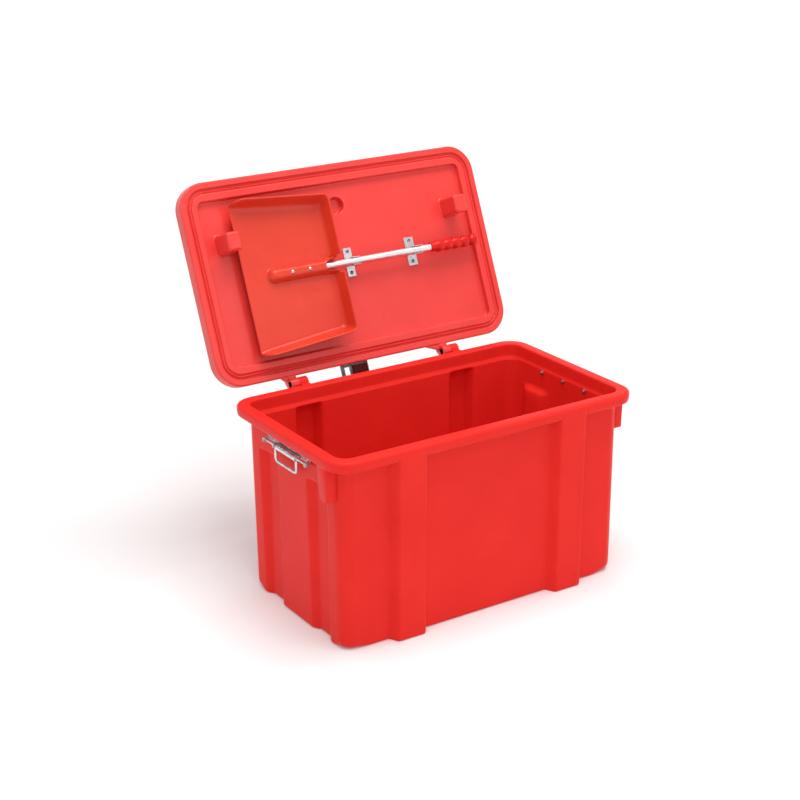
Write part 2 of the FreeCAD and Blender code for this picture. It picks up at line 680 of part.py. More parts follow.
# ----------------------------------------------------------------- handles
for side, sx in (("left", -1), ("right", 1)):
    # bolted plate with two folded ears
    b = body(side + "_handle_plate")
    s = sketch(b, "YZ_Plane", sx * d("plate_in"))
    mid_z = (d("plate_low") + d("plate_high")) / 2
    rrect(s, 0, mid_z, d("plate_hy"), (d("plate_high") - d("plate_low")) / 2, d("plate_corner"))
    pad(b, s, d("plate_thick"), back=(sx < 0))
    for sy in (-1, 1):
        at = sy * d("ear_mid") + d("ear_thick") / 2
        s = sketch(b, "XZ_Plane", -at)
        poly(s, [(sx * (d("plate_in") + 1), d("rod_high") - d("ear_rad")), (sx * d("rod_out"), d("rod_high") - d("ear_rad")),
                 (sx * d("rod_out"), d("rod_high") + d("ear_rad")), (sx * (d("plate_in") + 1), d("rod_high") + d("ear_rad"))])
        pad(b, s, d("ear_thick"))
        s = sketch(b, "XZ_Plane", -at)
        circ(s, sx * d("rod_out"), d("rod_high"), d("ear_rad"))
        pad(b, s, d("ear_thick"))
    s = sketch(b, "XZ_Plane", -(d("plate_hy")))
    circ(s, sx * d("rod_out"), d("rod_high"), d("rod_rad"))
    cut(b, s, 2 * d("plate_hy"))
    s = sketch(b, "YZ_Plane", sx * (d("plate_in") - 1))
    for k in (-1, 0, 1):
        circ(s, k * d("bolt_step"), d("bolt_high"), d("bolt_hole"))
    cut(b, s, d("plate_thick") + 2, back=(sx < 0))
    node(side + "_handle_plate", b)

    # rod with upset ends outside the ears
    rod = prim("Part::Cylinder", side + "_rod_bar", {"Radius": d("rod_rad"), "Height": 2 * d("rod_end")},
               (sx * d("rod_out"), -d("rod_end"), d("rod_high")), ALONG_Y)
    cap0 = prim("Part::Cylinder", side + "_rod_cap0", {"Radius": d("rod_cap"), "Height": d("cap_long")},
                (sx * d("rod_out"), -d("rod_end"), d("rod_high")), ALONG_Y)
    cap1 = prim("Part::Cylinder", side + "_rod_cap1", {"Radius": d("rod_cap"), "Height": d("cap_long")},
                (sx * d("rod_out"), d("rod_end") - d("cap_long"), d("rod_high")), ALONG_Y)
    node(side + "_handle_rod", fuse(side + "_handle_rod", [rod, cap0, cap1]))

    # swinging bail of round wire with flattened eyes
    b = body(side + "_bail")
    w = d("bail_wire")
    leg, bar, bend = d("bail_leg"), d("bail_bar"), d("bail_bend")
    path = sketch(b, "YZ_Plane", sx * d("rod_out"))
    bail_path(path, leg, bar, bend, d("rod_high") - 4)
    s = sketch(b, "XY_Plane", d("rod_high") - 4)
    circ(s, sx * d("rod_out"), -leg, w)
    sweep = b.newObject("PartDesign::AdditivePipe", side + "_bail_sweep")
    sweep.Profile = s
    sweep.Spine = (path, [])
    doc.recompute()
    s.Visibility = False
    path.Visibility = False
    for sy in (-1, 1):
        s = sketch(b, "XZ_Plane", -(sy * leg + w - 0.4))
        circ(s, sx * d("rod_out"), d("rod_high"), d("bail_eye"))
        pad(b, s, 2 * w - 0.8)
    s = sketch(b, "XZ_Plane", -60)
    circ(s, sx * d("rod_out"), d("rod_high"), d("bail_bore"))
    cut(b, s, 120)
    node(side + "_bail", b)

    # close-wound coil on the rod between the legs
    g = {k: float(sheet.get(k)) for k in ("spring_turns", "spring_half", "spring_wire", "spring_mean", "rod_out", "rod_high")}
    pitch = 2 * (g["spring_half"] - g["spring_wire"]) / g["spring_turns"]
    helix = Part.makeHelix(pitch, pitch * g["spring_turns"], g["spring_mean"])
    wire = Part.Wire(helix.Edges)
    ring = Part.Wire([Part.Circle(V(g["spring_mean"], 0, 0), V(0, 1, 0), g["spring_wire"]).toShape()])
    coil = wire.makePipeShell([ring], True, True)
    sp = doc.addObject("Part::Feature", side + "_handle_spring")
    sp.Shape = coil
    sp.Placement = Place(V(sx * g["rod_out"], -g["spring_half"] + g["spring_wire"], g["rod_high"]), ALONG_Y)
    node(side + "_handle_spring", sp)

    # bolts with domed heads on the plate, hexagon nuts inside the tub
    bolts, nuts = [], []
    out = ALONG_X if sx > 0 else AGAINST_X
    inn = AGAINST_X if sx > 0 else ALONG_X
    face = sx * (d("plate_in") + d("plate_thick"))
    for k in (-1, 0, 1):
        y = k * d("bolt_step")
        shank = prim("Part::Cylinder", side + "_bolt_shank",
                     {"Radius": d("bolt_rad"), "Height": d("plate_in") + d("plate_thick") - d("bolt_tip")},
                     (face, y, d("bolt_high")), inn)
        head = dome(side + "_bolt_head", d("bolt_head"), d("bolt_dome"), (face, y, d("bolt_high")), out)
        bolts.append(fuse(side + "_bolt", [shank, head]))
        hexa = doc.addObject("Part::Prism", side + "_nut_hex")
        hexa.Polygon = 6
        hexa.Circumradius = D["nut_across"] / math.sqrt(3)
        hexa.setExpression("Circumradius", "dims.nut_across / sqrt(3)")
        hexa.Height = D["nut_thick"]
        hexa.setExpression("Height", "dims.nut_thick")
        x = sx * d("nut_seat")
        hexa.Placement = Place(V(x.v, y.v if isinstance(y, Q) else y, D["bolt_high"]), inn)
        hexa.setExpression("Placement.Base.x", x.t)
        hexa.setExpression("Placement.Base.z", "dims.bolt_high")
        tap = prim("Part::Cylinder", side + "_nut_bore", {"Radius": d("bolt_rad"), "Height": d("nut_thick") + 2},
                   (x + sx, y, d("bolt_high")), inn)
        nuts.append(minus(side + "_nut", hexa, tap))
    node(side + "_handle_bolts", group(side + "_handle_bolts", bolts))
    node(side + "_handle_nuts", group(side + "_handle_nuts", nuts))

# ------------------------------------------------------------------- clips
ty, tz = d("tube_y"), d("tube_z")
for label, x0, wide in (("clip_near_pan", d("clip_left_from"), d("clip_left_wide")),
                        ("clip_near_grip", d("clip_right_from"), d("clip_right_wide"))):
    b = body(label)
    s = sketch(b, "YZ_Plane", x0)
    t = d("clip_sheet")
    th = panel - t
    tip, nk, h, fl, sl = d("clip_tip"), d("clip_neck"), d("clip_half"), d("clip_flare"), d("clip_slot")
    half = [(nk + t, th), (nk, th - t), (nk, tz + 11.8), (h, tz + 4.8), (h, tz - 4.7), (fl, tip + 0.8), (fl - 1.3, tip)]
    poly(s, [(d("clip_tab_front"), panel), (d("clip_tab_front"), th)] + [(ty - y, z) for y, z in half]
         + [(ty + y, z) for y, z in reversed(half)] + [(d("clip_tab_rear"), th), (d("clip_tab_rear"), panel)])
    pad(b, s, wide)
    s = sketch(b, "YZ_Plane", x0 - 1)
    circ(s, ty, tz, sl)
    cut(b, s, wide + 2)
    # open mouth below the tube, hollow foot above it
    s = sketch(b, "YZ_Plane", x0 - 1)
    poly(s, [(ty - sl, tz), (ty - sl, tz - 5.6), (ty - fl + 1.3, tip), (ty - fl + 1.3, tip - 1),
             (ty + fl - 1.3, tip - 1), (ty + fl - 1.3, tip), (ty + sl, tz - 5.6), (ty + sl, tz)])
    cut(b, s, wide + 2)
    s = sketch(b, "YZ_Plane", x0 - 1)
    poly(s, [(ty - nk + t, tz + sl + t), (ty + nk - t, tz + sl + t), (ty + nk - t, panel + 1), (ty - nk + t, panel + 1)])
    cut(b, s, wide + 2)
    s = sketch(b, "XY_Plane", th - 1)
    for y in (d("screw_front"), d("screw_rear")):
        circ(s, x0 + wide / 2, y, d("screw_hole"))
    cut(b, s, t + 2)
    fillet(b, 2, lambda e: e.BoundBox.XLength < 0.1 and e.BoundBox.ZLength > 1.4
           and e.BoundBox.ZMin > 442 and e.BoundBox.YLength < 0.1)
    node(label, b, True)

screws = []
for x in clip_x:
    for y in (d("screw_front"), d("screw_rear")):
        th = panel - d("clip_sheet")
        sh = prim("Part::Cylinder", "clip_screw_shank", {"Radius": d("screw_rad"), "Height": d("screw_deep") + d("clip_sheet") - 1},
                  (x, y, th))
        hd = dome("clip_screw_head", d("screw_head"), d("screw_dome"), (x, y, th), DOWN)
        screws.append(fuse("clip_screw", [sh, hd]))
node("clip_screws", group("clip_screws", screws), True)

# ------------------------------------------------------------------- scoop
pan = body("scoop_pan")


def quad(b, z, x0, h0, x1, h1):
    s = sketch(b, "XY_Plane", z)
    m = d("pan_mid")
    poly(s, [(x0, m - h0), (x1, m - h1), (x1, m + h1), (x0, m + h0)])
    s.Visibility = False
    return s


s0 = quad(pan, d("pan_floor"), d("pan_lip_x"), d("pan_lip_hy"), d("pan_back_x"), d("pan_back_hy"))
s1 = quad(pan, d("pan_rim"), d("pan_rim_lip_x"), d("pan_rim_lip_hy"), d("pan_rim_back_x"), d("pan_rim_back_hy"))
lf = pan.newObject("PartDesign::AdditiveLoft", "pan_outside")
lf.Profile = s0
lf.Sections = [s1]
lf.Ruled = True
doc.recompute()


def back_corner(e):
    bb = e.BoundBox
    return bb.ZLength > 30 and bb.XMin > -60


fillet(pan, d("pan_turn") + 2, back_corner)
t = d("pan_thick")
# the hollow runs out through the open lip
fall = t / (d("pan_floor") - d("pan_rim"))
k0 = (d("pan_lip_hy") - d("pan_back_hy")) / (d("pan_back_x") - d("pan_lip_x"))
k1 = (d("pan_rim_lip_hy") - d("pan_rim_back_hy")) / (d("pan_rim_back_x") - d("pan_rim_lip_x"))
far = 30
i0 = quad(pan, d("pan_floor") - t, d("pan_lip_x") - far, d("pan_lip_hy") + k0 * far - t + 0.8,
          d("pan_back_x") - t + 0.5, d("pan_back_hy") - t + 1.2)
i1 = quad(pan, d("pan_rim") - 1, d("pan_rim_lip_x") - far, d("pan_rim_lip_hy") + k1 * far - t + 0.2,
          d("pan_rim_back_x") - t + 0.2, d("pan_rim_back_hy") - t + 0.5)
ls = pan.newObject("PartDesign::SubtractiveLoft", "pan_inside")
ls.Profile = i0
ls.Sections = [i1]
ls.Ruled = True
doc.recompute()

def inner_corner(e):
    for v in e.Vertexes:
        if (abs(v.Z - D["pan_floor"] + D["pan_thick"]) < 0.1 and abs(v.X - (D["pan_back_x"] - D["pan_thick"] + 0.5)) < 1.5
                and abs(abs(v.Y - D["pan_mid"]) - (D["pan_back_hy"] - D["pan_thick"] + 1.2)) < 1.5):
            return e.BoundBox.ZLength > 30
    return False


fillet(pan, d("pan_turn"), inner_corner)
# notch in the back wall for the socket
s = sketch(pan, "XY_Plane", d("pan_rim") - 1)
poly(s, [(d("pan_back_x") - 20, ty - d("notch_half")), (d("pan_back_x") + 20, ty - d("notch_half")),
         (d("pan_back_x") + 20, ty + d("notch_half")), (d("pan_back_x") - 20, ty + d("notch_half"))])
cut(pan, s, d("pan_floor") - d("pan_rim") + 1 - t)
# round-topped socket
s = sketch(pan, "XY_Plane", d("socket_top"))
sm = (d("socket_from") - 20) / 2
sh = (-20 - d("socket_from")) / 2
rrect(s, sm, ty, sh, d("socket_half"), d("socket_half") - 0.1)
pad(pan, s, d("pan_floor") - d("socket_top") - 1)
fillet(pan, 13, level(D["socket_top"]))
# its mouth is cut on a slant
s = sketch(pan, "XZ_Plane", -(ty + d("notch_half")))
poly(s, [(d("socket_to") - d("socket_slant"), d("socket_top") - 2), (0, d("socket_top") - 2),
         (0, d("pan_floor") + 2), (d("socket_to"), d("pan_floor") + 2)])
cut(pan, s, 2 * d("notch_half"))
s = sketch(pan, "YZ_Plane", d("tube_from"))
circ(s, ty, tz, d("tube_rad"))
cut(pan, s, 160)
s = sketch(pan, "XY_Plane", d("socket_top") - 5)
circ(s, d("rivet_one"), ty, d("rivet_rad"))
circ(s, d("rivet_two"), ty, d("rivet_rad"))
cut(pan, s, 40)
node("scoop_pan", pan, True)

# tube, cross-drilled for the two rivets
out_c = prim("Part::Cylinder", "tube_outside", {"Radius": d("tube_rad"), "Height": d("tube_to") - d("tube_from")},
             (d("tube_from"), ty, tz), ALONG_X)
in_c = prim("Part::Cylinder", "tube_inside", {"Radius": d("tube_bore"), "Height": d("tube_to") - d("tube_from") + 2},
            (d("tube_from") - 1, ty, tz), ALONG_X)
h1 = prim("Part::Cylinder", "tube_hole_one", {"Radius": d("rivet_rad"), "Height": 30}, (d("rivet_one"), ty, tz - 15))
h2 = prim("Part::Cylinder", "tube_hole_two", {"Radius": d("rivet_rad"), "Height": 30}, (d("rivet_two"), ty, tz - 15))
node("scoop_tube", minus("scoop_tube", out_c, fuse("tube_holes", [in_c, h1, h2])), True)

# grip: sleeve with ridges and a ball end
gx = d("grip_from")
parts = [
    prim("Part::Cone", "grip_neck_cone", {"Radius1": d("grip_neck"), "Radius2": d("grip_sleeve"), "Height": 18}, (gx, ty, tz), ALONG_X),
    prim("Part::Cylinder", "grip_body", {"Radius": d("grip_sleeve"), "Height": d("grip_ball_x") - gx - 18}, (gx + 18, ty, tz), ALONG_X),
    prim("Part::Sphere", "grip_ball", {"Radius": d("grip_ball_rad")}, (d("grip_ball_x"), ty, tz), ALONG_X),
]
for k in range(4):
    parts.append(prim("Part::Torus", "grip_ridge", {"Radius1": d("ridge_ring"), "Radius2": d("ridge_rad")},
                      (gx + d("ridge_first") + k * d("ridge_step"), ty, tz), ALONG_X))
bore = prim("Part::Cylinder", "grip_bore", {"Radius": d("tube_rad"), "Height": d("tube_to") - gx + 1}, (gx - 1, ty, tz), ALONG_X)
node("scoop_grip", minus("scoop_grip", fuse("grip_solid", parts), bore), True)

rivets = []
for k in ("rivet_one", "rivet_two"):
    high = d("pan_floor") - d("socket_top")
    sh = prim("Part::Cylinder", "rivet_shank", {"Radius": d("rivet_rad"), "Height": high}, (d(k), ty, d("socket_top")))
    a = dome("rivet_head", d("rivet_head"), d("rivet_dome"), (d(k), ty, d("socket_top")), DOWN)
    b = dome("rivet_tail", d("rivet_head"), d("rivet_dome"), (d(k), ty, d("pan_floor")), Rot())
    rivets.append(fuse("rivet", [sh, a, b]))
node("scoop_rivets", group("scoop_rivets", rivets), True)

# -------------------------------------------------------------- rear stop
b = body("stop_bracket")
s = sketch(b, "YZ_Plane", d("stop_left"))
top = d("lid_high") + d("stop_thick")
poly(s, [(d("stop_front"), d("lid_high")), (d("stop_back") - d("stop_thick"), d("lid_high")),
         (d("stop_back") - d("stop_thick"), d("stop_leg_low")), (d("stop_back"), d("stop_leg_low")),
         (d("stop_back"), top), (d("stop_front"), top)])
pad(b, s, d("stop_right") - d("stop_left"))
fillet(b, d("stop_bend"), lambda e: e.BoundBox.XLength > 60 and abs(e.BoundBox.YMin - D["stop_back"]) < 0.01
       and abs(e.BoundBox.ZMax - D["lid_high"] - D["stop_thick"]) < 0.01)
s = sketch(b, "XY_Plane", d("lid_high") - 1)
poly(s, [(d("stop_win_left"), d("stop_win_front")), (d("stop_win_right"), d("stop_win_front")),
         (d("stop_win_right"), d("stop_win_back")), (d("stop_win_left"), d("stop_win_back"))])
for x in stop_x:
    circ(s, x, d("stop_screw_y"), d("screw_hole"))
cut(b, s, d("stop_thick") + 2)
node("stop_bracket", b, True)

b = body("stop_buffer")
a = math.radians(D["open_turn"])
gap = 0.1
# end face: the plane just clear of the skirt, turned back to the closed frame
ny, nz = -math.sin(a), math.cos(a)


def end_z(y):
    r = D["rim_wid"] / 2 + gap - D["hinge_back"]
    t_ = (r * math.cos(a) - (y - D["hinge_back"])) / math.sin(a)
    return D["hinge_high"] + r * math.sin(a) + t_ * math.cos(a)


bi, bo = d("buf_inner"), d("buf_outer")
leg_in, leg_out = d("stop_back") - d("stop_thick"), d("stop_back")
s = sketch(b, "YZ_Plane", d("buf_left"))
poly(s, [(bi, end_z(D["buf_inner"])), (bo, end_z(D["buf_outer"])), (bo, d("stop_leg_low") + 8), (leg_out, d("stop_leg_low") + 8),
         (leg_out, d("stop_leg_low")), (leg_in, d("stop_leg_low")), (leg_in, d("lid_high")), (d("buf_front"), d("lid_high")),
         (d("buf_front"), d("lid_high") - d("buf_under")), (bi, d("lid_high") - d("buf_under"))])
pad(b, s, d("buf_right") - d("buf_left"))
for k in range(8):
    s = sketch(b, "YZ_Plane", d("buf_left") + 1.2 + k * 4.8)
    lo = d("lid_high") - d("buf_under")
    poly(s, [(bi + 0.5, end_z(D["buf_inner"]) + 3), (bi + 0.5, lo + 0.5), (d("buf_front"), lo + 0.5), (d("buf_front"), lo - d("buf_rib")),
             (bi - d("buf_rib"), lo - d("buf_rib")), (bi - d("buf_rib"), end_z(D["buf_inner"]) + 3)])
    pad(b, s, 2)
node("stop_buffer", b, True)

screws = []
for x in stop_x:
    sh = prim("Part::Cylinder", "stop_screw_shank", {"Radius": d("screw_rad"), "Height": d("screw_deep") + d("stop_thick") - 1},
              (x, d("stop_screw_y"), d("lid_high") - d("screw_deep") + 1))
    hd = dome("stop_screw_head", d("screw_head"), d("screw_dome"), (x, d("stop_screw_y"), top), Rot())
    screws.append(fuse("stop_screw", [sh, hd]))
node("stop_screws", group("stop_screws", screws), True)

# ------------------------------------------------------------------ export
doc.recompute()
for o in doc.Objects:
    if "Invalid" in o.State or "Error" in o.State:
        raise RuntimeError("not built: " + o.Label)
for label, o in NODES.items():
    sh = o.Shape
    if sh.isNull() or not sh.isValid():
        raise RuntimeError("bad shape: " + label)
    bb = sh.BoundBox
    print("%-20s solids %d  vol %9.1f cm3  x %7.1f %7.1f  y %7.1f %7.1f  z %7.1f %7.1f" % (
        label, len(sh.Solids), sh.Volume / 1000, bb.XMin, bb.XMax, bb.YMin, bb.YMax, bb.ZMin, bb.ZMax))
    sh.exportStep("parts/%s.step" % label)
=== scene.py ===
import math

import bpy
import bmesh
import numpy as np
from mathutils import Matrix, Vector


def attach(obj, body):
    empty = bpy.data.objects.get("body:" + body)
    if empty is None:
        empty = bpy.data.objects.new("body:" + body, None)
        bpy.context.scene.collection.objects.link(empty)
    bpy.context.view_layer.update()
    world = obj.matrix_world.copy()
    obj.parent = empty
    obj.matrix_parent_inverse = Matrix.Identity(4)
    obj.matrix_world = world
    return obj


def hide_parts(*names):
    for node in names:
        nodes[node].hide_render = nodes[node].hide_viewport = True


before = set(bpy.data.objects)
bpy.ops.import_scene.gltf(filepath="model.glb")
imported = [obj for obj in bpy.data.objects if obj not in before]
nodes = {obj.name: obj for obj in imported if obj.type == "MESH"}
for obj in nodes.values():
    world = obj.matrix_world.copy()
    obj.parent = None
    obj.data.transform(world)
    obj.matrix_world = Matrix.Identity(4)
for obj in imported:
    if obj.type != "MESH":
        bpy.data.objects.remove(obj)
scene = bpy.context.scene
COLL = scene.collection

# All the making below is in millimetres and is scaled to metres at the end.
# Heights are taken from a datum UP above the ground. The lid and what it
# carries are drawn closed and turned about the hinge.
UP = 8.5
HINGE = Vector((0, 247.5, 428))
TURN = Matrix.Translation(HINGE) @ Matrix.Rotation(math.radians(-113), 4, "X") @ Matrix.Translation(-HINGE)


# ------------------------------------------------------------------ camera
def make_camera():
    cam = bpy.data.cameras.new("camera")
    ob = bpy.data.objects.new("camera", cam)
    COLL.objects.link(ob)
    fwd = Vector((0.50768, 0.78832, -0.34759)).normalized()
    right = Vector((0.83892, -0.54418, -0.00887))
    up = right.cross(fwd).normalized()
    right = fwd.cross(up).normalized()
    m = Matrix((right, up, -fwd)).transposed().to_4x4()
    m.translation = Vector((-1.9868, -2.9445, 1.7462))
    ob.matrix_world = m
    cam.sensor_fit = "HORIZONTAL"
    cam.sensor_width = 36
    cam.lens = 77.5
    cam.clip_end = 60
    scene.camera = ob


make_camera()


# --------------------------------------------------------------- materials
def new_mat(name):
    m = bpy.data.materials.new(name)
    m.use_nodes = True
    nt = m.node_tree
    b = nt.nodes["Principled BSDF"]
    return m, nt, b


def noise(nt, scale, detail=2.0, rough=0.5, coord=None, stretch=None):
    tc = nt.nodes.new("ShaderNodeTexCoord")
    out = tc.outputs["Object"]
    if stretch:
        mp = nt.nodes.new("ShaderNodeMapping")
        mp.inputs["Scale"].default_value = stretch
        nt.links.new(out, mp.inputs["Vector"])
        out = mp.outputs["Vector"]
    n = nt.nodes.new("ShaderNodeTexNoise")
    n.inputs["Scale"].default_value = scale
    n.inputs["Detail"].default_value = detail
    n.inputs["Roughness"].default_value = rough
    nt.links.new(out, n.inputs["Vector"])
    return n.outputs["Fac"]


def ramp(nt, fac, stops):
    r = nt.nodes.new("ShaderNodeValToRGB")
    e = r.color_ramp.elements
    e[0].position, e[0].color = stops[0][0], stops[0][1]
    e[1].position, e[1].color = stops[-1][0], stops[-1][1]
    for p, c in stops[1:-1]:
        k = e.new(p)
        k.color = c
    nt.links.new(fac, r.inputs["Fac"])
    return r.outputs["Color"]


def spread(nt, fac, lo, hi, a=0.35, b=0.65):
    m = nt.nodes.new("ShaderNodeMapRange")
    m.inputs["From Min"].default_value = a
    m.inputs["From Max"].default_value = b
    m.inputs["To Min"].default_value = lo
    m.inputs["To Max"].default_value = hi
    nt.links.new(fac, m.inputs["Value"])
    return m.outputs["Result"]


def bump(nt, bsdf, layers):
    """layers: (height socket, strength, distance in metres)"""
    prev = None
    for h, s, dist in layers:
        k = nt.nodes.new("ShaderNodeBump")
        k.inputs["Strength"].default_value = s
        k.inputs["Distance"].default_value = dist
        nt.links.new(h, k.inputs["Height"])
        if prev is not None:
            nt.links.new(prev, k.inputs["Normal"])
        prev = k.outputs["Normal"]
    nt.links.new(prev, bsdf.inputs["Normal"])


def plastic(name, col, dark, light, r0=0.30, r1=0.40, grain=0.10, spec=0.34, sub=0.0):
    """Moulded polyethylene: faint mottling, fine grain, slow waviness."""
    m, nt, b = new_mat(name)
    big = noise(nt, 9, 3, 0.55)
    c = ramp(nt, big, [(0.30, (*dark, 1)), (0.5, (*col, 1)), (0.72, (*light, 1))])
    nt.links.new(c, b.inputs["Base Color"])
    mid = noise(nt, 11, 1, 0.4)
    nt.links.new(spread(nt, mid, r0, r1, 0.15, 0.85), b.inputs["Roughness"])
    fine = noise(nt, 520, 1, 0.5)
    wave = noise(nt, 14, 1, 0.4)
    bump(nt, b, [(wave, 0.10, 0.0008), (fine, grain, 0.00008)])
    b.inputs["IOR"].default_value = 1.5
    b.inputs["Specular IOR Level"].default_value = spec
    if sub:
        b.inputs["Subsurface Weight"].default_value = sub
        b.inputs["Subsurface Radius"].default_value = (0.012, 0.003, 0.002)
        b.inputs["Subsurface Scale"].default_value = 0.5
    return m


def metal(name, col, dark, r0, r1, stretch=(1, 1, 1), scale=120, lines=0.15, metallic=1.0):
    """Zinc-plated or drawn metal: cloudy tone, drawn lines along the stock."""
    m, nt, b = new_mat(name)
    b.inputs["Metallic"].default_value = metallic
    cloud = noise(nt, 45, 4, 0.6)
    c = ramp(nt, cloud, [(0.32, (*dark, 1)), (0.66, (*col, 1))])
    nt.links.new(c, b.inputs["Base Color"])
    n2 = noise(nt, scale, 3, 0.6, stretch=stretch)
    nt.links.new(spread(nt, n2, r0, r1), b.inputs["Roughness"])
    bump(nt, b, [(n2, lines, 0.0002)])
    return m


RED = (0.775, 0.0255, 0.0195)
M = {}
M["tub"] = plastic("bin_red_plastic", RED, (0.75, 0.0235, 0.0178), (0.80, 0.0278, 0.0214), 0.27, 0.34, 0.02, 0.08)
# the lid's base colour is paler and pinker than the tub's red: painted sheen standing in for the brighter light and
# reflection on the lid
M["lid"] = plastic("lid_red_plastic_painted_sheen", (0.745, 0.044, 0.036), (0.72, 0.040, 0.033), (0.77, 0.049, 0.040), 0.26, 0.36, 0.03, 0.40)
M["pan"] = plastic("pan_orange_red_plastic", (0.66, 0.040, 0.0160), (0.63, 0.035, 0.0130), (0.69, 0.048, 0.0190), 0.26, 0.38, 0.03, 0.38)
M["grip"] = plastic("grip_red_plastic", (0.60, 0.0090, 0.0050), (0.56, 0.0078, 0.0040), (0.64, 0.0105, 0.0062), 0.26, 0.36, 0.03, 0.22)
M["steel"] = metal("zinc_plated_steel", (0.78, 0.78, 0.79), (0.52, 0.52, 0.53), 0.24, 0.40, metallic=0.8)
M["bolt"] = metal("zinc_plated_fastener", (0.56, 0.55, 0.55), (0.36, 0.35, 0.35), 0.24, 0.40, scale=300)
M["tube"] = metal("drawn_aluminium_tube", (0.85, 0.85, 0.855), (0.76, 0.76, 0.77), 0.34, 0.46, (1, 14, 14), 160, 0.10)
M["screw"] = metal("dark_zinc_screw", (0.34, 0.33, 0.33), (0.18, 0.175, 0.175), 0.30, 0.46, scale=300)
M["clip"] = metal("clip_sheet_steel", (0.70, 0.70, 0.71), (0.54, 0.54, 0.56), 0.24, 0.40, scale=200)
M["wire"] = metal("galvanised_wire", (0.84, 0.84, 0.85), (0.58, 0.58, 0.59), 0.22, 0.36, scale=260, metallic=0.8)
M["bracket"] = metal("dark_zinc_bracket", (0.20, 0.20, 0.20), (0.10, 0.10, 0.10), 0.34, 0.52)
# hinge pins coloured near black: painted shade, so the pin ends read as part of a dark hole
M["pin"] = plastic("near_black_hinge_pin_shade", (0.030, 0.012, 0.011), (0.022, 0.009, 0.008), (0.040, 0.016, 0.014), 0.50, 0.64, 0.05, 0.12)
# near-black red for the faces inside the hinge bores: painted shade for the dark hole, not dirt
M["bore"] = plastic("painted_shade_hinge_bore", (0.060, 0.006, 0.005), (0.040, 0.004, 0.0035), (0.085, 0.009, 0.0075), 0.52, 0.66, 0.05, 0.06)
M["rubber"] = plastic("buffer_dark_red_rubber", (0.21, 0.012, 0.012), (0.17, 0.010, 0.010), (0.25, 0.015, 0.015), 0.50, 0.66, 0.2)


# -------------------------------------------------------------- mesh tools
def finish_mesh(name, bm_or_data, mat, body, replaces=(), turn=False, smooth_angle=None):
    me = bpy.data.meshes.new(name)
    if isinstance(bm_or_data, bmesh.types.BMesh):
        bm_or_data.to_mesh(me)
        bm_or_data.free()
    else:
        v, f = bm_or_data
        me.from_pydata([tuple(p) for p in v], [], f)
    if turn:
        me.transform(TURN)
    me.transform(Matrix.Scale(0.001, 4) @ Matrix.Translation((0, 0, UP)))
    me.update()
    me.validate()
    me.shade_smooth()
    if smooth_angle is not None:
        me.set_sharp_from_angle(angle=math.radians(smooth_angle))
    me.materials.append(mat)
    ob = bpy.data.objects.new(name, me)
    COLL.objects.link(ob)
    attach(ob, body)
    if replaces:
        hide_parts(*replaces)
    return ob


def grid(rows, closed=True, cap0=False, cap1=False, flip=False, base=0):
    """rows: list of (N,3) arrays; quads between them, optional end caps."""
    n = len(rows[0])
    v = np.concatenate(rows)
    f = []
    m = n if closed else n - 1
    for i in range(len(rows) - 1):
        a, b = i * n, (i + 1) * n
        for j in range(m):
            k = (j + 1) % n
            q = (a + j, a + k, b + k, b + j)
            f.append(q[::-1] if flip else q)
    if cap0:
        q = tuple(range(n))
        f.append(q if flip else q[::-1])
    if cap1:
        a = (len(rows) - 1) * n
        q = tuple(a + j for j in range(n))
        f.append(q[::-1] if flip else q)
    if base:
        f = [tuple(i + base for i in q) for q in f]
    return v, f


def merge(parts):
    v, f, o = [], [], 0
    for pv, pf in parts:
        v.append(np.asarray(pv, float))
        f += [tuple(i + o for i in q) for q in pf]
        o += len(pv)
    return np.concatenate(v), f


def soft(x, xp, fp, e):
    """Piecewise line with its corners rounded over +-e."""
    x = np.asarray(x, float)
    k = np.linspace(-e, e, 13)
    return np.mean([np.interp(x + d, xp, fp) for d in k], axis=0)


def fill_steps(pts, step):
    """Sorted positions with the gaps filled to at most step."""
    pts = sorted(set(round(p, 4) for p in pts))
    out = [pts[0]]
    for p in pts[1:]:
        n = max(1, int(math.ceil((p - out[-1]) / step)))
        a = out[-1]
        out += [a + (p - a) * (i + 1) / n for i in range(n)]
    return out


def loop(hx, hy, r, xs, ys, nc=14, cx=0.0, cy=0.0):
    """Rounded rectangle, counter-clockwise from the front left; xs and ys are
    inner sample positions. Gives points, outward normals and side numbers
    (0 front, 1 right, 2 rear, 3 left, -1 corner)."""
    a, b = hx - r, hy - r
    P, N, S = [], [], []

    def side(n, pts, s):
        for p in pts:
            P.append(p)
            N.append(n)
            S.append(s)

    def corner(px, py, a0):
        for i in range(1, nc):
            t = a0 + math.pi / 2 * i / nc
            c, s = math.cos(t), math.sin(t)
            P.append((px + r * c, py + r * s))
            N.append((c, s))
            S.append(-1)

    xs = list(xs)
    ys = list(ys)
    side((0, -1), [(x, -hy) for x in [-a] + xs + [a]], 0)
    corner(a, -b, -math.pi / 2)
    side((1, 0), [(hx, y) for y in [-b] + ys + [b]], 1)
    corner(a, b, 0)
    side((0, 1), [(x, hy) for x in [a] + xs[::-1] + [-a]], 2)
    corner(-a, b, math.pi / 2)
    side((-1, 0), [(-hx, y) for y in [b] + ys[::-1] + [-b]], 3)
    corner(-a, -b, math.pi)
    P = np.array(P) + np.array([cx, cy])
    return P, np.array(N), np.array(S)


# --------------------------------------------------------------------- tub
RIBS = (-205.5, 210.0)


def wall_at(z):
    g = (z + UP) / 430
    return 360.2 + 3.5 * g, 198.5 + 3.5 * g, 30 + 3.5 * g


def rib_out(z):
    return 221.0 + 8.8 * (z + UP) / 437.5


def rib_base(z):
    return 33.0 + 0.5333 * (rib_out(z) - wall_at(z)[1])


def rib_w(z):
    k = rib_base(z)
    xp, fp = [], []
    for m in RIBS:
        xp += [m - k, m - 33.0, m + 33.0, m + k]
        fp += [0, 1, 1, 0]
    return xp, fp


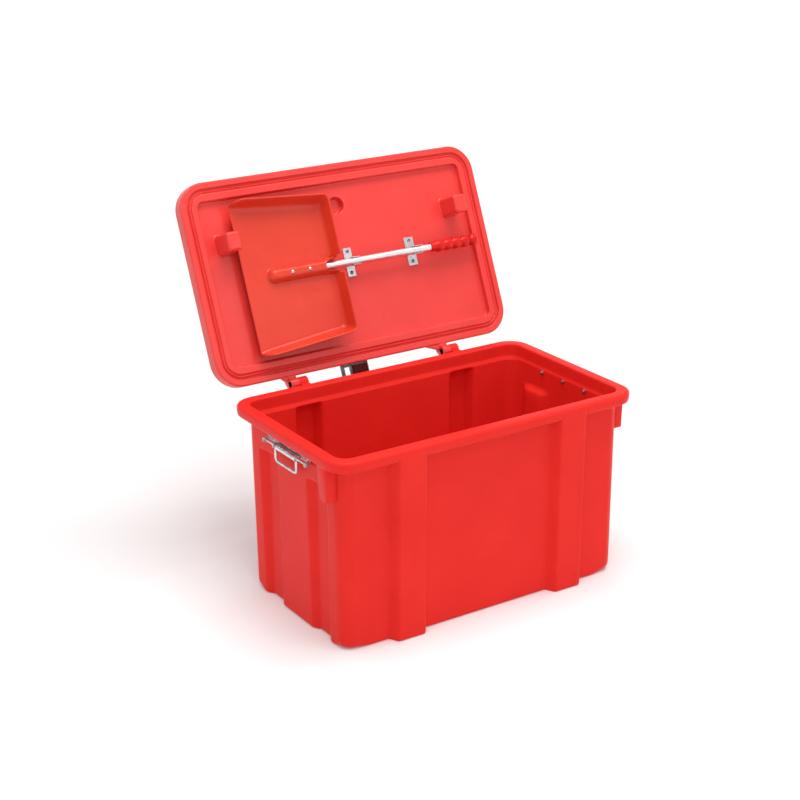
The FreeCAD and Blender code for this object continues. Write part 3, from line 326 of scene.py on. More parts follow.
def tub_xs(z):
    k = rib_base(z)
    e = np.linspace(-2.6, 2.6, 7)
    out = []
    for m in RIBS:
        for s in (-1, 1):
            out += list(m + s * (k + e)) + list(m + s * (33.0 + e))
            out += [m + s * (k + 33.0) / 2, m + s * 21.5, m + s * 22.8, m + s * 24.0, m + s * 25.2, m + s * 26.5]
        out += [m - 10, m, m + 10]
    base = [-303, -288, -275, -263, -148, -126, -100, -60, -20, 20, 60, 100, 128, 150, 269, 279, 290, 303]
    return sorted(out + base)


YS = []
for y in (61.0, 80.0, 121.0, 142.0):
    YS += list(y + np.linspace(-5, 5, 11))
YS += [91.5, 92.5, 93.5, 94.5, 100, 108, 47, 50, 53, 67.5, 70, 72.5, 128, 131, 134, 148.5, 150.5, 153, 156, 25]
YS = sorted(set(round(v, 3) for v in YS))
YS = [v for i, v in enumerate(YS) if i == 0 or v - YS[i - 1] > 0.35]
YS = [-v for v in YS[::-1]] + [0.0] + YS


def tub_outer(z, ins=0.0):
    """Outer wall loop at height z, moved in by ins."""
    hx, hy, r = wall_at(z)
    P, N, S = loop(hx, hy, r, tub_xs(z), YS)
    x, y = P[:, 0], P[:, 1]
    d = np.zeros(len(P))
    fb = (S == 0) | (S == 2)
    xp, fp = rib_w(z)
    rib = np.where(fb, soft(x, xp, fp, 2.4), 0.0)
    d += rib * (rib_out(z) - hy)
    lr = (S == 1) | (S == 3)
    k = 24.0 * (365.2 - hx) / 16.2
    ch = soft(np.abs(y), [56 + k, 80, 123, 147 - k], [0, 1, 1, 0], 3.4)
    top = 1.0 - float(soft(z, [339, 344], [0, 1], 2.5))
    d -= np.where(lr, ch * top * (hx - 349), 0.0)
    coll = float(soft(z, [393.5, 396.5], [0, 1], 1.2))
    full = (366.5 - hx) * N[:, 0] ** 2 + (206.5 - hy) * N[:, 1] ** 2
    boss = soft(np.abs(y), [91.5, 93.5], [1, 0], 0.8) * float(soft(z, [379.5, 381.5], [0, 1], 0.8))
    d += np.where(lr, np.maximum(boss, coll), coll * (1 - rib)) * full
    Q = P + N * (d - ins)[:, None]
    return Q, rib, N, S


def rows_of(P, z):
    z = np.broadcast_to(np.asarray(z, float), (len(P),))
    return np.column_stack([P, z])


def make_tub():
    rows = []
    # underside: shallow recess, then the foot rounding
    for ins, z in ((34, 3.0), (31, 3.0), (29.5, 2.2), (28.4, 0.6), (27, 0.0)):
        P0, N0, S0 = loop(360.2 - ins, 198.5 - ins, 12, tub_xs(-UP), YS)
        rows.append(rows_of(P0, z - UP))
    P0, rib, N, S = tub_outer(-UP, 0.0)
    near = np.maximum(np.clip((np.abs(P0[:, 0]) - 296) / 34, 0, 1) * np.isin(S, (0, 2)), np.clip((np.abs(P0[:, 1]) - 147) / 21, 0, 1) * np.isin(S, (1, 3)))
    near = np.where(S == -1, 1.0, near)
    near = near * near * (3 - 2 * near)
    r = 7.0 + 13.0 * near - 1.0 * rib
    for t in np.linspace(0, 1, 11):
        a = t * math.pi / 2
        z = r * (1 - math.cos(a)) - UP
        ins = r * (1 - math.sin(a))
        rows.append(np.column_stack([P0 - N * ins[:, None], z]))
    for t in (0.35, 0.7):
        rows.append(rows_of(tub_outer(-UP + 8 + 14 * t)[0], (r - UP) * (1 - t) + 24 * t))
    zs = [24, 40, 80, 120, 160, 200, 240, 280, 310, 325, 333, 335.5, 337, 338.2,
          339.2, 340.2, 341.2, 342.2, 343.2, 344.2, 345.4, 347, 352, 362, 374, 377.5, 378.6, 379.2, 379.8, 380.4, 381.0, 381.6, 382.4, 385, 389,
          391.8, 392.8, 393.6, 394.4, 395.2, 396.0, 396.8, 398, 401, 405.6]
    for z in zs:
        P, rib, N, S = tub_outer(float(z))
        rows.append(rows_of(P, z))
    wallP, rib, N, S = tub_outer(405.9)
    full = np.clip(rib, 0, 1)
    blend = np.clip((full - 0.80) / 0.16, 0, 1)
    blend = blend * blend * (3 - 2 * blend)
    zc = 425.0 - 18.9 * np.clip(full / 0.84, 0, 1)
    wall_y = np.abs(wallP[:, 1])
    RC = 52.0

    def flush(P, z, zr, k):
        """Skirt row P at z; on a rib face the row stays on the rib at zr."""
        z = np.broadcast_to(np.asarray(z, float), (len(P),))
        yr = np.sign(wallP[:, 1]) * (wall_y + k)
        y = P[:, 1] * (1 - blend) + yr * blend
        x = P[:, 0] * (1 - blend) + wallP[:, 0] * blend
        return np.column_stack([x, y, z * (1 - blend) + zr * blend])

    rows.append(flush(wallP, zc - 0.6 * (1 - full) - 0.01, 405.95, 0.0))

    # under the rim and down the inside of the skirt, kept outside the ribs
    def skirt_in(off, z, k, zr):
        P, N, S = loop(385 + off, 225 + off, RC - 5 + off, tub_xs(406.0), YS)
        fb = (S == 0) | (S == 2)
        need = np.where(fb, wall_y + k - (225 + off), 0.0)
        need = np.maximum(need, 0)
        return flush(P + N * need[:, None], z, zr, 0.0)

    rows.append(skirt_in(-1.2, zc, 0.05, 406.0))
    rows.append(skirt_in(-0.4, zc - 0.8 * (1 - full) - 0.02, 0.1, 406.05))
    rows.append(skirt_in(-0.8, np.minimum(408.0, zc - 0.05), 0.15, 406.1))
    rows.append(skirt_in(-0.5, 406.6, 0.2, 406.15))
    rows.append(skirt_in(0.3, 406.1, 0.25, 406.2))
    prof = [(386.6, 406.1), (387.6, 406.7), (388.3, 407.8), (388.8, 409.4), (389.3, 412.5), (389.7, 416.5), (390, 420.5), (390, 422.4)]
    for i in range(1, 11):
        a = math.pi / 2 * i / 10
        prof.append((390 - 7.4 * (1 - math.cos(a)), 422.6 + 7.4 * math.sin(a)))
    prof += [(379.5, 430.0), (373, 430.0), (367.0, 430.0)]
    for i in range(0, 7):
        a = math.pi / 2 * i / 6
        prof.append((365.5 - 3.5 * math.sin(a), 430 - 3.5 * (1 - math.cos(a))))
    prof += [(362, 420), (362, 412), (362, 403.4), (361.8, 401.6), (361.2, 400.1), (360.3, 398.6), (359.2, 396.8), (358.5, 395.6), (358.3, 394.6)]
    for i, (off, z) in enumerate(prof):
        hx, hy = off, off - 160
        r = RC + (off - 390) * ((RC - 28.0) / 28.0) if off > 362 else 28 + (off - 362)
        P, N, S = loop(hx, hy, r, tub_xs(406.0), YS)
        if i < 8:
            zr = max(z, 406.3 + 0.1 * i)
            rows.append(flush(P, z, zr, (229.97 - wall_y) * min(1.0, (zr - 406) / 15.0)))
        else:
            rows.append(rows_of(P, z))

    # inner wall with rib hollows and the channel walls standing in
    def inner(z, ins=0.0):
        g = (z + UP) / 430
        hx = 355.2 + 3.5 * g
        hy = 193.5 + 3.5 * g
        r = 25 + 3.5 * g
        P, N, S = loop(hx, hy, r, tub_xs(z), YS)
        x, y = P[:, 0], P[:, 1]
        fb = (S == 0) | (S == 2)
        lr = (S == 1) | (S == 3)
        xp, fp = [], []
        for m in RIBS:
            xp += [m - 34, m - 24, m + 24, m + 34]
            fp += [0, 1, 1, 0]
        hollow = 1.0 - float(soft(z, [382, 392], [0, 1], 3.0))
        d = np.where(fb, soft(x, xp, fp, 3.4), 0.0) * hollow * (rib_out(z) - 5 - hy)
        top = 1.0 - float(soft(z, [338, 347], [0, 1], 4.0))
        d -= np.where(lr, soft(np.abs(y), [52, 77, 126, 151], [0, 1, 1, 0], 5.0) * top, 0.0) * (hx - 344)
        return P + N * (d - ins)[:, None]

    for z in [393.4, 392.2, 391, 389.8, 388.6, 387.4, 386, 384.6, 383, 380, 365, 355, 352.5, 351, 349.6, 348.4, 347.2, 346, 344.8, 343.6, 342.4, 341.0, 339.6, 338,
              334, 320, 280, 240, 200, 160, 120, 80, 45, 24, 12]:
        rows.append(rows_of(inner(float(z)), z))
    for i in range(1, 8):
        a = math.pi / 2 * i / 7
        rows.append(rows_of(inner(-3.5, 11 * (1 - math.cos(a))), -3.5 + 11 * (1 - math.sin(a))))
    rows.append(rows_of(inner(-3.5, 14.0), -3.5))
    return grid(rows, cap0=True, cap1=True)


tub_data = make_tub()
tub_ob = finish_mesh("tub_moulding", tub_data, M["tub"], "tub", ("tub",))


def barrel(x0, x1, cy, cz, r_out, r_in, edge=1.2, seg=48):
    """Tube along X with rounded end edges, a bore and a counterbore."""
    prof = [(x0 + 13.0, r_in), (x0 + 12.1, r_in + 0.3), (x0 + 12.0, 6.7), (x0 + 11.7, 7.1), (x0 + 0.7, 7.3), (x0 + 0.15, 7.6), (x0, 8.1), (x0, r_out - edge), (x0 + 0.3 * edge, r_out - 0.3 * edge), (x0 + edge, r_out),
            (x1 - edge, r_out), (x1 - 0.3 * edge, r_out - 0.3 * edge), (x1, r_out - edge), (x1, r_in + 0.9), (x1 - 0.15, r_in + 0.4), (x1 - edge * 0.6, r_in)]
    rows = []
    ang = np.linspace(0, 2 * math.pi, seg, endpoint=False)
    for x, r in prof:
        rows.append(np.column_stack([np.full(seg, x), cy + r * np.cos(ang), cz + r * np.sin(ang)]))
    rows.append(rows[0])
    v, f = grid(rows[:-1], closed=True)
    n = seg
    a, b = (len(rows) - 2) * n, 0
    for j in range(n):
        k = (j + 1) % n
        f.append((a + j, a + k, b + k, b + j))
    return v, f


def paint_bore_shade(ob):
    """Painted shade: a near-black red on the faces inside the hinge bore stands in for the shadow in the hole."""
    me = ob.data
    me.materials.append(M["bore"])
    for p in me.polygons:
        if math.hypot(p.center.y - 0.2475, p.center.z - 0.4365) < 0.0077:
            p.material_index = 1


def bevel_prism(profile, x0, x1, edge=1.0, seg=2):
    """Polygon in YZ drawn out along X, its edges rounded."""
    bm = bmesh.new()
    a = [bm.verts.new((x0, y, z)) for y, z in profile]
    b = [bm.verts.new((x1, y, z)) for y, z in profile]
    n = len(profile)
    bm.faces.new(a[::-1])
    bm.faces.new(b)
    for i in range(n):
        k = (i + 1) % n
        bm.faces.new((a[i], a[k], b[k], b[i]))
    bmesh.ops.recalc_face_normals(bm, faces=bm.faces[:])
    geom = [e for e in bm.edges if e.calc_face_angle(0) > math.radians(25)]
    bmesh.ops.bevel(bm, geom=geom, offset=edge, segments=seg, profile=0.5, affect="EDGES", clamp_overlap=True)
    return bm


def turned(data, axes):
    """Reorder the coordinates of (vertices, faces)."""
    v, f = data
    v = np.asarray(v)[:, list(axes)]
    sign = {(0, 1, 2): 1, (1, 2, 0): 1, (2, 0, 1): 1}.get(tuple(axes), -1)
    return v, [tuple(q) if sign > 0 else tuple(q[::-1]) for q in f]


def bm_data(bm):
    bm.verts.index_update()
    v = [tuple(p.co) for p in bm.verts]
    f = [tuple(q.index for q in p.verts) for p in bm.faces]
    bm.free()
    return np.array(v), f


# hollow lugs under the rim at both ends, open below
lugs = []
for sx in (-1, 1):
    out = [(-180, 361.5), (-180, 382.6), (-179.3, 384.4), (-177.6, 385.2), (-151.5, 385.2), (-149, 384.2), (-148, 381.5), (-148, 361.5),
           (-152, 361.5), (-152, 381), (-176, 381), (-176, 361.5)]
    prof = [(sx * b, a) for a, b in out]
    lv, lf = turned(bm_data(bevel_prism(prof, 331.4, 424.6, 0.8, 2)), (1, 2, 0))
    lv = np.array(lv)
    lv[:, 0] += np.where(np.abs(lv[:, 0]) > 370, np.sign(lv[:, 0]) * 3.6 * np.clip((lv[:, 2] - 331.4) / 75, 0, 1), 0)
    lugs.append((lv, lf))
finish_mesh("tub_lugs", merge(lugs), M["tub"], "tub", ("tub",), smooth_angle=50)

HY, HZ = 247.5, 428.0
for tag, x0 in (("left", -203.0), ("right", 208.0)):
    web = bm_data(bevel_prism([(226.5, 409), (237, 409), (252.5, 416.5), (257.5, 423), (255.5, 422), (251.9, 419), (247.5, 418), (242.5, 419.3), (239.4, 422.1),
                                (237.6, 426.7), (237.8, 429.5), (226.5, 429.5)], x0 + 0.05, x0 + 20.9, 0.9, 2))
    knuckle = finish_mesh("tub_knuckle_" + tag, merge([barrel(x0, x0 + 21, HY, HZ, 13.0, 4.0), web]), M["tub"], "tub", ("tub",), smooth_angle=50)
    paint_bore_shade(knuckle)


# --------------------------------------------------------------------- lid
LXS = fill_steps([-300, 300], 40)
LYS = fill_steps([-150, 150], 40)


def make_lid():
    def L(ins, z, r=None, insy=None):
        hx, hy = 391 - ins, 231 - (ins if insy is None else insy)
        P, N, S = loop(hx, hy, (62 - ins) if r is None else r, LXS, LYS, 20, 0, -1.3)
        return rows_of(P, z)

    rows = [L(30, 468), L(14, 468), L(10.6, 468)]
    for i in range(1, 9):
        a = math.pi / 2 * i / 8
        rows.append(L(10 - 10 * math.sin(a), 458 + 10 * math.cos(a)))
    rows += [L(0, 452), L(0, 440), L(0, 434.4)]
    for i in range(1, 6):
        a = math.pi / 2 * i / 5
        rows.append(L(3.6 * (1 - math.cos(a)), 433.8 - 3.6 * math.sin(a)))
    flat = [(5, 430.2), (12.4, 430.2), (13.6, 430.3), (14.4, 430.75), (14.9, 431.6), (15.1, 432.8), (15.3, 434.8), (15.9, 436.6), (17.0, 437.3), (19.2, 437.2),
            (20.1, 436.4), (20.7, 434.8), (21.1, 433.2), (21.6, 432.5), (22.1, 432.3), (22.6, 432.5), (23.1, 433.2), (23.5, 434.2), (24.1, 435.0),
            (25.0, 435.3), (25.9, 434.9), (26.5, 434.0), (26.9, 432.8), (27.3, 431.8), (28.1, 431.25), (29.4, 431.1), (34, 431.1)]
    rows += [L(i, z) for i, z in flat]

    def W(ins, z, rr):
        return L(ins, z, rr, ins + 1.5 * min(1.0, max(0.0, (ins - 34) / 6)))

    rows += [W(38.6, 431.1, 20), W(40.0, 431.2, 17.5), W(41.0, 431.6, 15.6), W(41.6, 432.5, 14.2), W(41.9, 434, 13.6), W(42.1, 438, 13.3), W(42.3, 441, 13.1),
             W(42.7, 442.6, 12.9), W(43.5, 443.7, 12.4), W(44.8, 444.2, 11.6), W(46.5, 444.2, 11), W(50, 444.2, 11)]
    v, f = grid(rows, closed=True, flip=True)
    n = len(rows[0])
    bm = bmesh.new()
    bv = [bm.verts.new(tuple(p)) for p in v]
    bm.verts.ensure_lookup_table()
    for q in f:
        bm.faces.new([bv[i] for i in q])
    # outer face
    bm.faces.new([bv[i] for i in range(n)])
    # inner panel with the round dimple
    seg = 48
    ang = np.linspace(0, 2 * math.pi, seg, endpoint=False)
    dim = [(21.8, 444.2), (21.0, 444.3), (20.4, 444.8), (20.0, 445.8), (19.8, 448), (19.6, 453), (19.3, 458), (18.6, 460.4), (17.2, 461.6), (15, 461.9)]
    rings = []
    for r, z in dim:
        rings.append([bm.verts.new((3.5 + r * math.cos(t), -135.6 + r * math.sin(t), z)) for t in ang])
    outer = [bv[(len(rows) - 1) * n + j] for j in range(n)]
    edges = []
    for lp in (outer, rings[0]):
        for j in range(len(lp)):
            a, b = lp[j], lp[(j + 1) % len(lp)]
            e = bm.edges.get((a, b)) or bm.edges.new((a, b))
            edges.append(e)
    bmesh.ops.triangle_fill(bm, use_beauty=True, use_dissolve=False, edges=edges)
    for i in range(len(rings) - 1):
        for j in range(seg):
            k = (j + 1) % seg
            bm.faces.new((rings[i][j], rings[i][k], rings[i + 1][k], rings[i + 1][j]))
    bm.faces.new(rings[-1])
    bmesh.ops.recalc_face_normals(bm, faces=bm.faces[:])
    return bm


lid_ob = finish_mesh("lid_moulding", make_lid(), M["lid"], "lid", ("lid",), turn=True)


def soft_block(cx, cy, hx, hy, z0, z1, r):
    """Block standing on the panel (z0) down to z1, with a flared foot."""
    rows = []
    n = 0
    prof = [(4.0, z0 + 1.0), (3.2, z0 - 0.05), (1.5, z0 - 0.6), (0.5, z0 - 1.7), (0.1, z0 - 3.5), (0, z0 - 6)]
    draft = 1.2
    h = z0 - z1
    for i in range(1, 6):
        t = i / 6
        prof.append((-draft * t, z0 - 6 - (h - 6 - r) * t))
    for i in range(0, 8):
        a = math.pi / 2 * i / 7
        prof.append((-draft - r * (1 - math.cos(a)), z1 + r - r * math.sin(a)))
    for off, z in prof:
        rr = max(r + off, 0.8)
        P, N, S = loop(hx + off, hy + off, min(rr + 1.5, hx + off - 0.5), fill_steps([-(hx - r) * 0.6, (hx - r) * 0.6], 6), fill_steps([-(hy - r) * 0.7, (hy - r) * 0.7], 6), 8, cx, cy)
        rows.append(rows_of(P, z))
    return grid(rows, cap1=True, flip=True)


blocks = merge([soft_block(-301.8, -87.6, 18, 22.5, 444.2, 381.2, 6.5), soft_block(301.8, -87.6, 18, 22.5, 444.2, 381.2, 6.5)])
finish_mesh("lid_blocks", blocks, M["lid"], "lid", ("lid",), turn=True)

for tag, x1, run in (("left", -203.3, 16.0), ("right", 207.7, 38.0)):
    x0 = x1 - 20.7
    arm = bm_data(bevel_prism([(226.5, 430.8), (236, 430.6), (238.2, 431.4), (240.3, 435), (244.1, 437.4), (248.4, 438), (252.5, 436.6), (255.6, 433.9), (257.3, 430),
                               (260, 431.5), (257.8, 439.5), (252, 446.5), (244, 451.8), (235.5, 455), (226.5, 456.4)],
                              x0 + 0.05, x1 - 0.05, 0.9, 2))
    web = turned(bm_data(bevel_prism([(228.0, x0 + 3), (245.5, x0 + 3), (244.5, x0), (241, x0 - run * 0.12), (228.0, x0 - run)], 432.2, 445.2, 1.2, 3)), (2, 1, 0))
    knuckle = finish_mesh("lid_knuckle_" + tag, merge([barrel(x0, x1, HY, HZ, 13.0, 4.05), arm, web]), M["lid"], "lid", ("lid",), turn=True, smooth_angle=50)
    paint_bore_shade(knuckle)


# ------------------------------------------------------------------- scoop
TY, TZ = 1.0, 414.2
PAN_Y = 0.6
LIP_X = -280.0


def pan_path():
    """Sample positions along the pan's rim: left side, back, right side."""
    side = [0, 0.004, 0.010, 0.018, 0.028, 0.040, 0.055, 0.072, 0.09, 0.115, 0.15, 0.2, 0.27, 0.35, 0.45, 0.55, 0.65, 0.75, 0.84, 0.92, 0.97]
    kinds = [("s", f) for f in side]
    kinds += [("c", t) for t in np.linspace(0, 1, 11)]
    back = [("f", g) for g in (0.12, 0.3, 0.5, 0.7, 0.85)]
    back += [("b", v) for v in (34, 28, 25, 23.4, 22.2, 21.3, 20.5, 19.8, 19.1, 18.4, 17.6, 16.6, 15.0, 12.5, 9, 4)]
    kinds += back
    left = [(k, v, -1) for k, v in kinds]
    return left + [(k, v, 1) for k, v in reversed(kinds)]


PATH = pan_path()


def pan_ring(off, w, flare=1.0):
    """One ring: off is outward from the inner wall line, w above the inner
    floor; the wall drops at the lip and in the notch behind the socket."""
    pts = []
    for k, v, sgn in PATH:
        # height factor from the nominal position
        if k == "s":
            x0 = LIP_X + v * 214.0
            t = (x0 - LIP_X) / 27.0
            H = 1.0 if t >= 1 else max(0.10, math.sqrt(max(0.0, 1 - (1 - t) ** 2)))
        elif k == "b":
            t = min(1.0, max(0.0, (v - 16.2) / 6.6))
            H = 0.16 + 0.84 * t * t * (3 - 2 * t)
        else:
            H = 1.0
        T = 1.0
        if k == "s":
            T = min(1.0, 0.40 + v * 60)
        if w <= 0:
            ww, oo = w, off
        elif w > 33 and off > -0.5:
            ww = 37 * H + (w - 37) * min(1.0, H * 4)
            oo = off
        else:
            ww, oo = w * H, off
        if oo >= 0:
            oo = 1.5 + (oo - 1.5) * T
        if w <= 0:
            ww = -1.5 + (ww + 1.5) * T
        q = max(0.0, ww) / 37.0
        hb = 145.2 + 11.8 * q + oo
        hl = 167.2 + 8.6 * q + oo
        xb = -56.5 + 9.2 * q + oo
        rc = max(2.5, 10.0 + 0.9 * oo)
        if k == "s":
            x = LIP_X + v * (xb - rc - LIP_X)
            sy = -hb
        elif k == "c":
            a = v * math.pi / 2
            x = xb - rc + rc * math.sin(a)
            sy = -(hb - rc) - rc * math.cos(a)
        elif k == "f":
            x = xb
            sy = -((hb - rc) * (1 - v) + 40 * v)
        else:
            x = xb
            sy = -v
        if k != "b":
            sy *= (hb + (hl - hb) * (xb - x) / (xb - LIP_X)) / hb
        pts.append((x, (TY if k == "b" else PAN_Y) - sgn * sy, 421.2 - ww))
    return np.array(pts)


def make_pan():
    spec = [(-60, 0), (-30, 0), (-15, 0), (-10, 0), (-7.2, 0.35), (-4.6, 1.3), (-2.6, 3.0), (-1.1, 5.4), (-0.3, 8.2),
            (0, 12), (0, 17), (0, 23), (0, 28.5), (0, 32.4)]
    for a in (180, 155, 130, 105, 80, 55, 30, 5, -20, -50):
        t = math.radians(a)
        spec.append((1.9 + 2.1 * math.cos(t), 34.9 + 2.1 * math.sin(t)))
    spec += [(3, 31.5), (3, 26), (3, 18), (3, 11), (2.7, 7.0), (1.7, 3.2), (0.1, 0.2), (-2.4, -1.9), (-6, -2.8), (-10, -3), (-15, -3), (-30, -3), (-60, -3)]
    if len(spec) % 2:
        spec.insert(13, (0, 30.5))
    rings = [pan_ring(o, w) for o, w in spec]
    v, f = grid(rings, closed=False)
    n, m = len(PATH), len(rings)
    h = n // 2
    # middle of the floor, inside and outside
    for base, flip in ((0, False), ((m - 1) * n, True)):
        for j in range(h - 1):
            q = (base + j, base + j + 1, base + n - 2 - j, base + n - 1 - j)
            f.append(q[::-1] if not flip else q)
    # lip: join the inner skin to the outer one
    for j, flip in ((0, True), (n - 1, False)):
        for i in range(m // 2 - 1):
            q = (i * n + j, (i + 1) * n + j, (m - 2 - i) * n + j, (m - 1 - i) * n + j)
            f.append(q[::-1] if flip else q)
    q = (0, n - 1, (m - 1) * n + n - 1, (m - 1) * n)
    f.append(q)
    bm = bmesh.new()
    bv = [bm.verts.new(tuple(p)) for p in v]
    for q in f:
        bm.faces.new([bv[i] for i in q])
    bmesh.ops.recalc_face_normals(bm, faces=bm.faces[:])
    return bm


def smin(a, b, k):
    h = np.clip(0.5 + 0.5 * (b - a) / k, 0, 1)
    return b * (1 - h) + a * h - k * h * (1 - h)


def smax(a, b, k):
    return -smin(-a, -b, k)


def make_socket():
    """Long boss on the pan floor that takes the tube; above the inner floor."""
    xs = fill_steps([-252, -224, -206, -100], 3.0) + fill_steps([-99, -84], 1.5) + fill_steps([-83.4, -60], 0.8) + fill_steps([-59, -46.2], 1.2)
    ys = fill_steps([-31, -23], 1.6) + fill_steps([-22.4, 22.4], 0.9) + fill_steps([23, 31], 1.6)
    X, Y = np.meshgrid(np.array(xs), np.array(ys), indexing="ij")
    # plan distance from the boss axis, rounded at the blind end
    cx = -223.0 + 17.5
    rho = np.where(X < cx, np.hypot(Y, X - cx), np.abs(Y))
    wide = 17.9 + 3.0 * np.clip((X + 86) / 38, 0, 1) ** 1.6
    u = np.clip(rho / wide, 0, 1.2)
    dome = np.clip(1 - u ** 2.5, 0, 1) ** 0.62
    rise = np.clip((X + 80) / 30, 0, 1)
    rise = rise * rise * (3 - 2 * rise)
    peak = 18.6 + 16.4 * rise
    H = peak * dome
    # trough that opens towards the back wall, round at its inner end
    ex = X + 78.0
    g = np.where(ex <= 0, -5.0, 11.0 * np.sqrt(np.clip(1 - (1 - np.clip(ex / 12.0, 0, 1)) ** 2, 0, 1)) + 5.2 * np.clip((ex - 6) / 24, 0, 1) ** 1.3)
    depth = np.clip((g - np.abs(Y)) / 2.2 + 0.5, 0, 1)
    depth = depth * depth * (3 - 2 * depth)
    floor_t = 4.0
    H = H * (1 - depth) + np.minimum(H, floor_t) * depth
    H = smax(H, np.full_like(H, 0.0), 3.4) - 0.55
    edge = np.maximum.reduce([np.clip((np.abs(Y) - 27.5) / 3.0, 0, 1), np.clip((-X - 247) / 4.0, 0, 1)])
    H = H * (1 - edge) - 0.25 * edge
    nx, ny = X.shape
    top = np.column_stack([X.ravel(), (Y + TY).ravel(), (421.2 - H).ravel()])
    low = np.column_stack([X.ravel(), (Y + TY).ravel(), np.full(nx * ny, 422.6)])
    v = np.concatenate([top, low])
    o = nx * ny
    f = []
    for i in range(nx - 1):
        for j in range(ny - 1):
            a, b, c, d_ = i * ny + j, (i + 1) * ny + j, (i + 1) * ny + j + 1, i * ny + j + 1
            f.append((a, d_, c, b))
            f.append((a + o, b + o, c + o, d_ + o))
    for i in range(nx - 1):
        a, b = i * ny, (i + 1) * ny
        f.append((a, b, b + o, a + o))
        a, b = i * ny + ny - 1, (i + 1) * ny + ny - 1
        f.append((b, a, a + o, b + o))
    for j in range(ny - 1):
        a, b = j, j + 1
        f.append((b, a, a + o, b + o))
        a, b = (nx - 1) * ny + j, (nx - 1) * ny + j + 1
        f.append((a, b, b + o, a + o))
    bm = bmesh.new()
    bv = [bm.verts.new(tuple(p)) for p in v]
    for q in f:
        bm.faces.new([bv[i] for i in q])
    bmesh.ops.recalc_face_normals(bm, faces=bm.faces[:])
    return bm


finish_mesh("scoop_pan_moulding", make_pan(), M["pan"], "scoop", ("scoop_pan",), turn=True, smooth_angle=62)
finish_mesh("scoop_socket", make_socket(), M["pan"], "scoop", ("scoop_pan",), turn=True, smooth_angle=70)


def lathe(prof, cy, cz, seg=56, x_axis=True):
    """(x, r) profile about an axis along X; r = 0 ends are closed by a fan."""
    ang = np.linspace(0, 2 * math.pi, seg, endpoint=False)
    v, f, rows = [], [], []
    for x, r in prof:
        if r < 1e-6:
            rows.append([len(v)])
            v.append((x, cy, cz))
        else:
            rows.append(list(range(len(v), len(v) + seg)))
            v += [(x, cy + r * math.cos(t), cz + r * math.sin(t)) for t in ang]
    for a, b in zip(rows[:-1], rows[1:]):
        for j in range(seg):
            k = (j + 1) % seg
            if len(a) == 1 and len(b) == 1:
                continue
            if len(a) == 1:
                f.append((a[0], b[k], b[j]))
            elif len(b) == 1:
                f.append((a[j], a[k], b[0]))
            else:
                f.append((a[j], a[k], b[k], b[j]))
    return np.array(v), f


def make_grip():
    prof = [(262.0, 0.0), (262.0, 8.0), (211.2, 8.0), (210.9, 8.4), (210.9, 9.6), (211.5, 10.4), (212.8, 10.9), (218, 11.1), (222, 11.4)]
    x = 223.0
    while x < 318.5:
        ph = 0.5 + 0.5 * math.cos(2 * math.pi * (x - 234.0) / 24.0)
        r = 11.7 + 3.0 * ph ** 0.75
        prof.append((x, r))
        x += 1.0
    for i in range(0, 25):
        t = math.radians(146 - 146 * i / 24)
        prof.append((332 + 15.0 * math.cos(t), max(0.0, 15.0 * math.sin(t)) if i < 24 else 0.0))
    return lathe(prof, TY, TZ)


finish_mesh("scoop_grip_moulding", make_grip(), M["grip"], "scoop", ("scoop_grip",), turn=True, smooth_angle=60)


# ------------------------------------------------------------ clips, screws
def strip_profile(line, t):
    """Closed outline of a bent strip of thickness t about its centre line."""
    line = np.array(line, float)
    dirs = np.diff(line, axis=0)
    dirs /= np.linalg.norm(dirs, axis=1)[:, None]
    left, right = [], []
    for i, p in enumerate(line):
        a = dirs[max(0, i - 1)]
        b = dirs[min(len(dirs) - 1, i)]
        m = a + b
        m /= np.linalg.norm(m)
        n = np.array([-m[1], m[0]])
        k = t / 2 / max(0.5, float(n @ np.array([-b[1], b[0]])))
        left.append(p + n * k)
        right.append(p - n * k)
    return [tuple(p) for p in left] + [tuple(p) for p in right[::-1]]


def smooth_line(pts, rounds=2):
    """Corner cutting that keeps both ends."""
    pts = [np.array(p, float) for p in pts]
    for _ in range(rounds):
        out = [pts[0]]
        for a, b in zip(pts[:-1], pts[1:]):
            out += [a * 0.75 + b * 0.25, a * 0.25 + b * 0.75]
        out.append(pts[-1])
        pts = out
    return pts


def make_clip(x0, wide):
    parts = []
    for sgn, tab in ((-1, -34.0), (1, 33.0)):
        line = [(tab, 443.45), (TY + sgn * 12, 443.45), (TY + sgn * 6.9, 443.4), (TY + sgn * 6.85, 438), (TY + sgn * 6.85, 427), (TY + sgn * 6.9, 423.6),
                (TY + sgn * 8.85, 419.5), (TY + sgn * 8.95, 414.2), (TY + sgn * 8.85, 409.6), (TY + sgn * 8.6, 407.4)]
        prof = strip_profile(smooth_line(line), 1.4)
        parts.append(bm_data(bevel_prism(prof, x0, x0 + wide, 0.25, 1)))
    arc = []
    for i in range(0, 15):
        t = math.radians(38 + 104 * i / 14)
        arc.append((TY + 8.95 * math.cos(t), TZ + 8.95 * math.sin(t)))
    parts.append(bm_data(bevel_prism(strip_profile(arc, 1.4), x0 + 0.1, x0 + wide - 0.1, 0.25, 1)))
    return merge(parts)


finish_mesh("clip_near_pan_sheet", make_clip(-6.0, 21.0), M["clip"], "lid", ("clip_near_pan",), turn=True, smooth_angle=40)
finish_mesh("clip_near_grip_sheet", make_clip(162.0, 25.0), M["clip"], "lid", ("clip_near_grip",), turn=True, smooth_angle=40)


